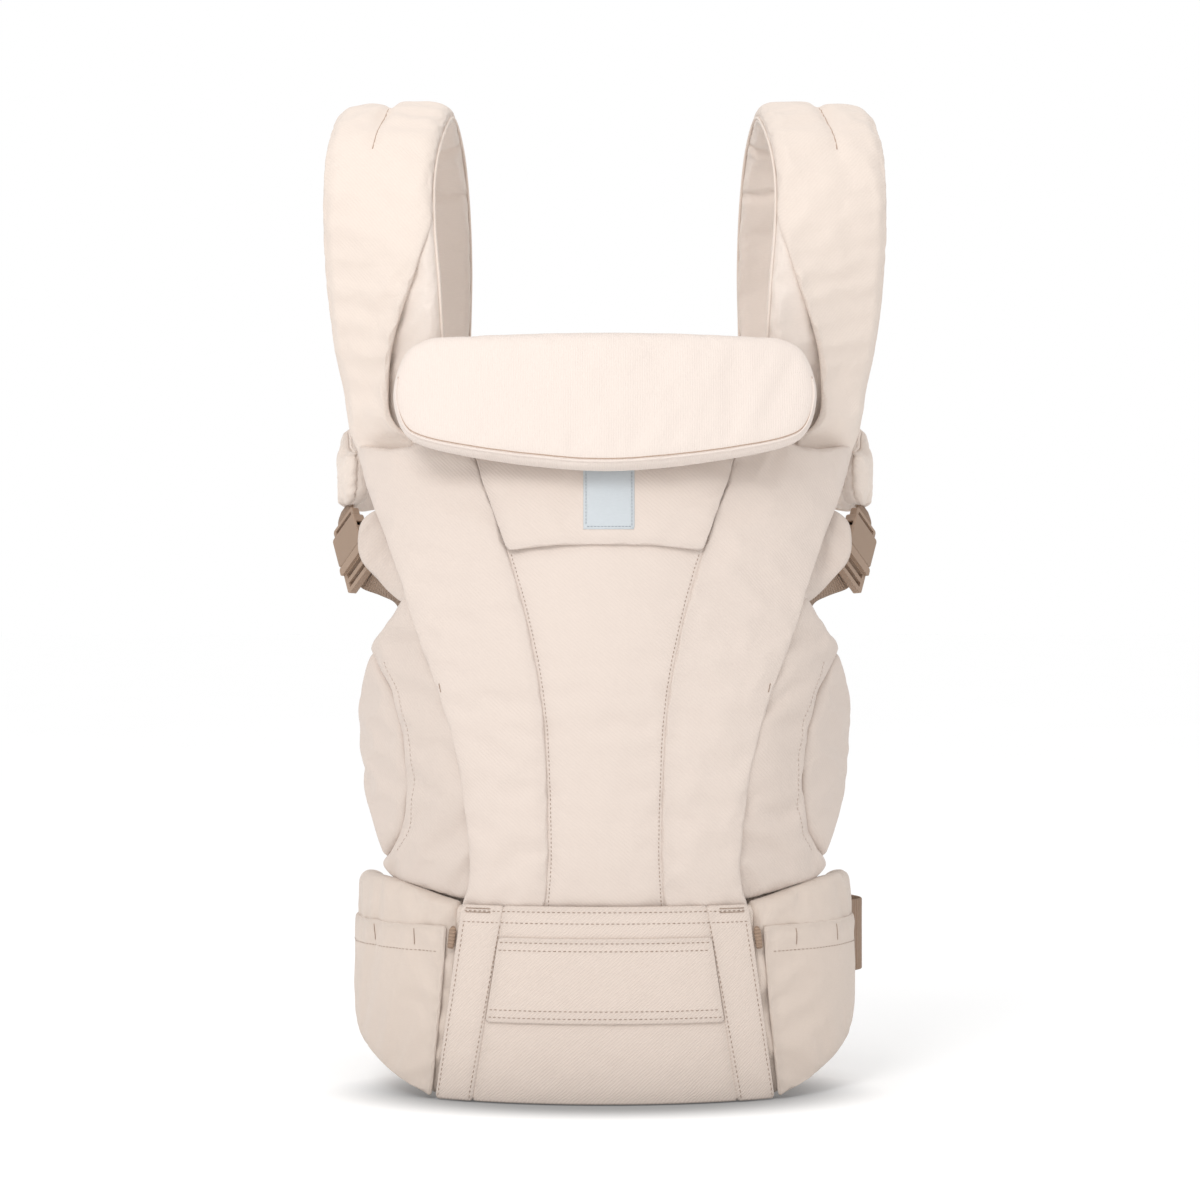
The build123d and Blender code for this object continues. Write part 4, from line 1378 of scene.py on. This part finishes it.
def make_stage():
    scene = bpy.context.scene
    camera = bpy.data.objects.new("camera", bpy.data.cameras.new("camera"))
    camera.location = CAMERA_PLACE
    camera.rotation_euler = (math.pi / 2, 0, 0)
    camera.data.lens = CAMERA_LENS
    camera.data.sensor_width = CAMERA_SENSOR
    scene.collection.objects.link(camera)
    scene.camera = camera
    world = bpy.data.worlds.new("studio")
    world.use_nodes = True
    tree = world.node_tree
    tree.nodes["Background"].inputs["Color"].default_value = (1, 1, 1, 1)
    seen = tree.nodes.new("ShaderNodeLightPath")
    up = tree.nodes.new("ShaderNodeSeparateXYZ")
    tree.links.new(tree.nodes.new("ShaderNodeTexCoord").outputs["Generated"], up.inputs[0])
    light = []
    for axis, far, low, high in (("Z", 1.0, 0.47, 1.15), ("Y", -1.0, 0.0, 0.2)):
        part = tree.nodes.new("ShaderNodeMapRange")
        for key, value in (("From Max", far), ("To Min", low), ("To Max", high)):
            part.inputs[key].default_value = value
        tree.links.new(up.outputs[axis], part.inputs["Value"])
        light.append(part.outputs["Result"])
    both = tree.nodes.new("ShaderNodeMath")
    for socket, part in zip(both.inputs, light):
        tree.links.new(part, socket)
    strength = tree.nodes.new("ShaderNodeMix")
    strength.inputs["B"].default_value = 1.0
    tree.links.new(seen.outputs["Is Camera Ray"], strength.inputs["Factor"])
    tree.links.new(both.outputs[0], strength.inputs["A"])
    tree.links.new(strength.outputs["Result"], tree.nodes["Background"].inputs["Strength"])
    scene.world = world
    scene.view_settings.view_transform = "Standard"
    area_light("key", (-0.6, -1.6, 1.45), (0, 0, 0.45), 0.8, 12)
    make_floor()


def make_floor():
    """A pale round floor, with a soft contact shade painted under the belt's front."""
    floor = bpy.data.meshes.new("floor")
    turns = [2 * math.pi * k / FLOOR_SIDES for k in range(FLOOR_SIDES)]
    points = [(FLOOR_RADIUS * math.cos(turn), FLOOR_RADIUS * math.sin(turn), 0) for turn in turns]
    floor.from_pydata(points, [], [list(range(FLOOR_SIDES))])
    ground = bpy.data.objects.new("floor", floor)
    bpy.context.scene.collection.objects.link(ground)
    n = Nodes("white_floor")
    grey = n.cloud(n.add("TexCoord").outputs["Object"], 0.5)
    white = n.mix(grey, (0.93, 0.93, 0.93, 1), (0.95, 0.95, 0.95, 1))
    across = n.dot(n.add("TexCoord").outputs["Object"], (1 / SHADE_HALF[0], 0, 0))
    deep = n.math("ADD", n.dot(n.add("TexCoord").outputs["Object"], (0, 1 / SHADE_HALF[1], 0)),
                  SHADE_FORWARD / SHADE_HALF[1])
    out = n.math("SQRT", n.math("ADD", n.math("MULTIPLY", across, across), n.math("MULTIPLY", deep, deep)))
    shaded = n.add("MapRange", interpolation_type="SMOOTHSTEP")
    n.link(out, shaded.inputs["Value"])
    for key, value in (("From Min", 0.9), ("From Max", 1.7), ("To Min", 0.3), ("To Max", 1.0)):
        shaded.inputs[key].default_value = value
    contact = n.add("VectorMath", operation="SCALE")
    n.link(white, contact.inputs[0])
    n.link(shaded.outputs[0], contact.inputs["Scale"])
    n.link(contact.outputs[0], n.shader.inputs["Base Color"])
    n.shader.inputs["Roughness"].default_value = 1
    n.shader.inputs["Specular IOR Level"].default_value = 0
    n.shader.inputs["Emission Color"].default_value = (1, 1, 1, 1)
    n.shader.inputs["Emission Strength"].default_value = 0.09
    floor.materials.append(n.material)


def dress_cad_nodes():
    """The buckles, sliders and rails stay as they are and get their plastic; bare webbing its weave."""
    for name, node in frame["nodes"].items():
        hard = any(word in name for word in ("socket", "plug", "slider", "rails"))
        soft = WEBBING if "webbing" in name else ELASTIC if "elastic" in name else COTTON
        material = PLASTIC if hard else soft
        node.data.materials.clear()
        node.data.materials.append(material)


dress_cad_nodes()
make_stage()
make_panel()
make_hood()
make_headrest()
NECK = make_neck()
for NAME, SIDE in SIDES.items():
    make_strap(NAME, SIDE)
    make_side_tab(NAME, SIDE)
BELT_COVER, BELT_BAND, BELT_STRIPS = make_belt_front()
for NAME, SIDE in SIDES.items():
    make_belt_side(NAME, SIDE)
make_elastics()
make_lumbar_pad()
simulate()
for NAME in list(MADE):
    subdivide(MADE[NAME])
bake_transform(NECK)
for NAME, SIDE in SIDES.items():
    make_side_webbing(NAME, SIDE)
make_chest_webbing()
make_waist_webbing()
make_label(Surface(MADE["hood_pocket_flap"]))
make_piping(Surface(MADE["headrest_pillow"]))
make_strap_seams()
make_stitches()
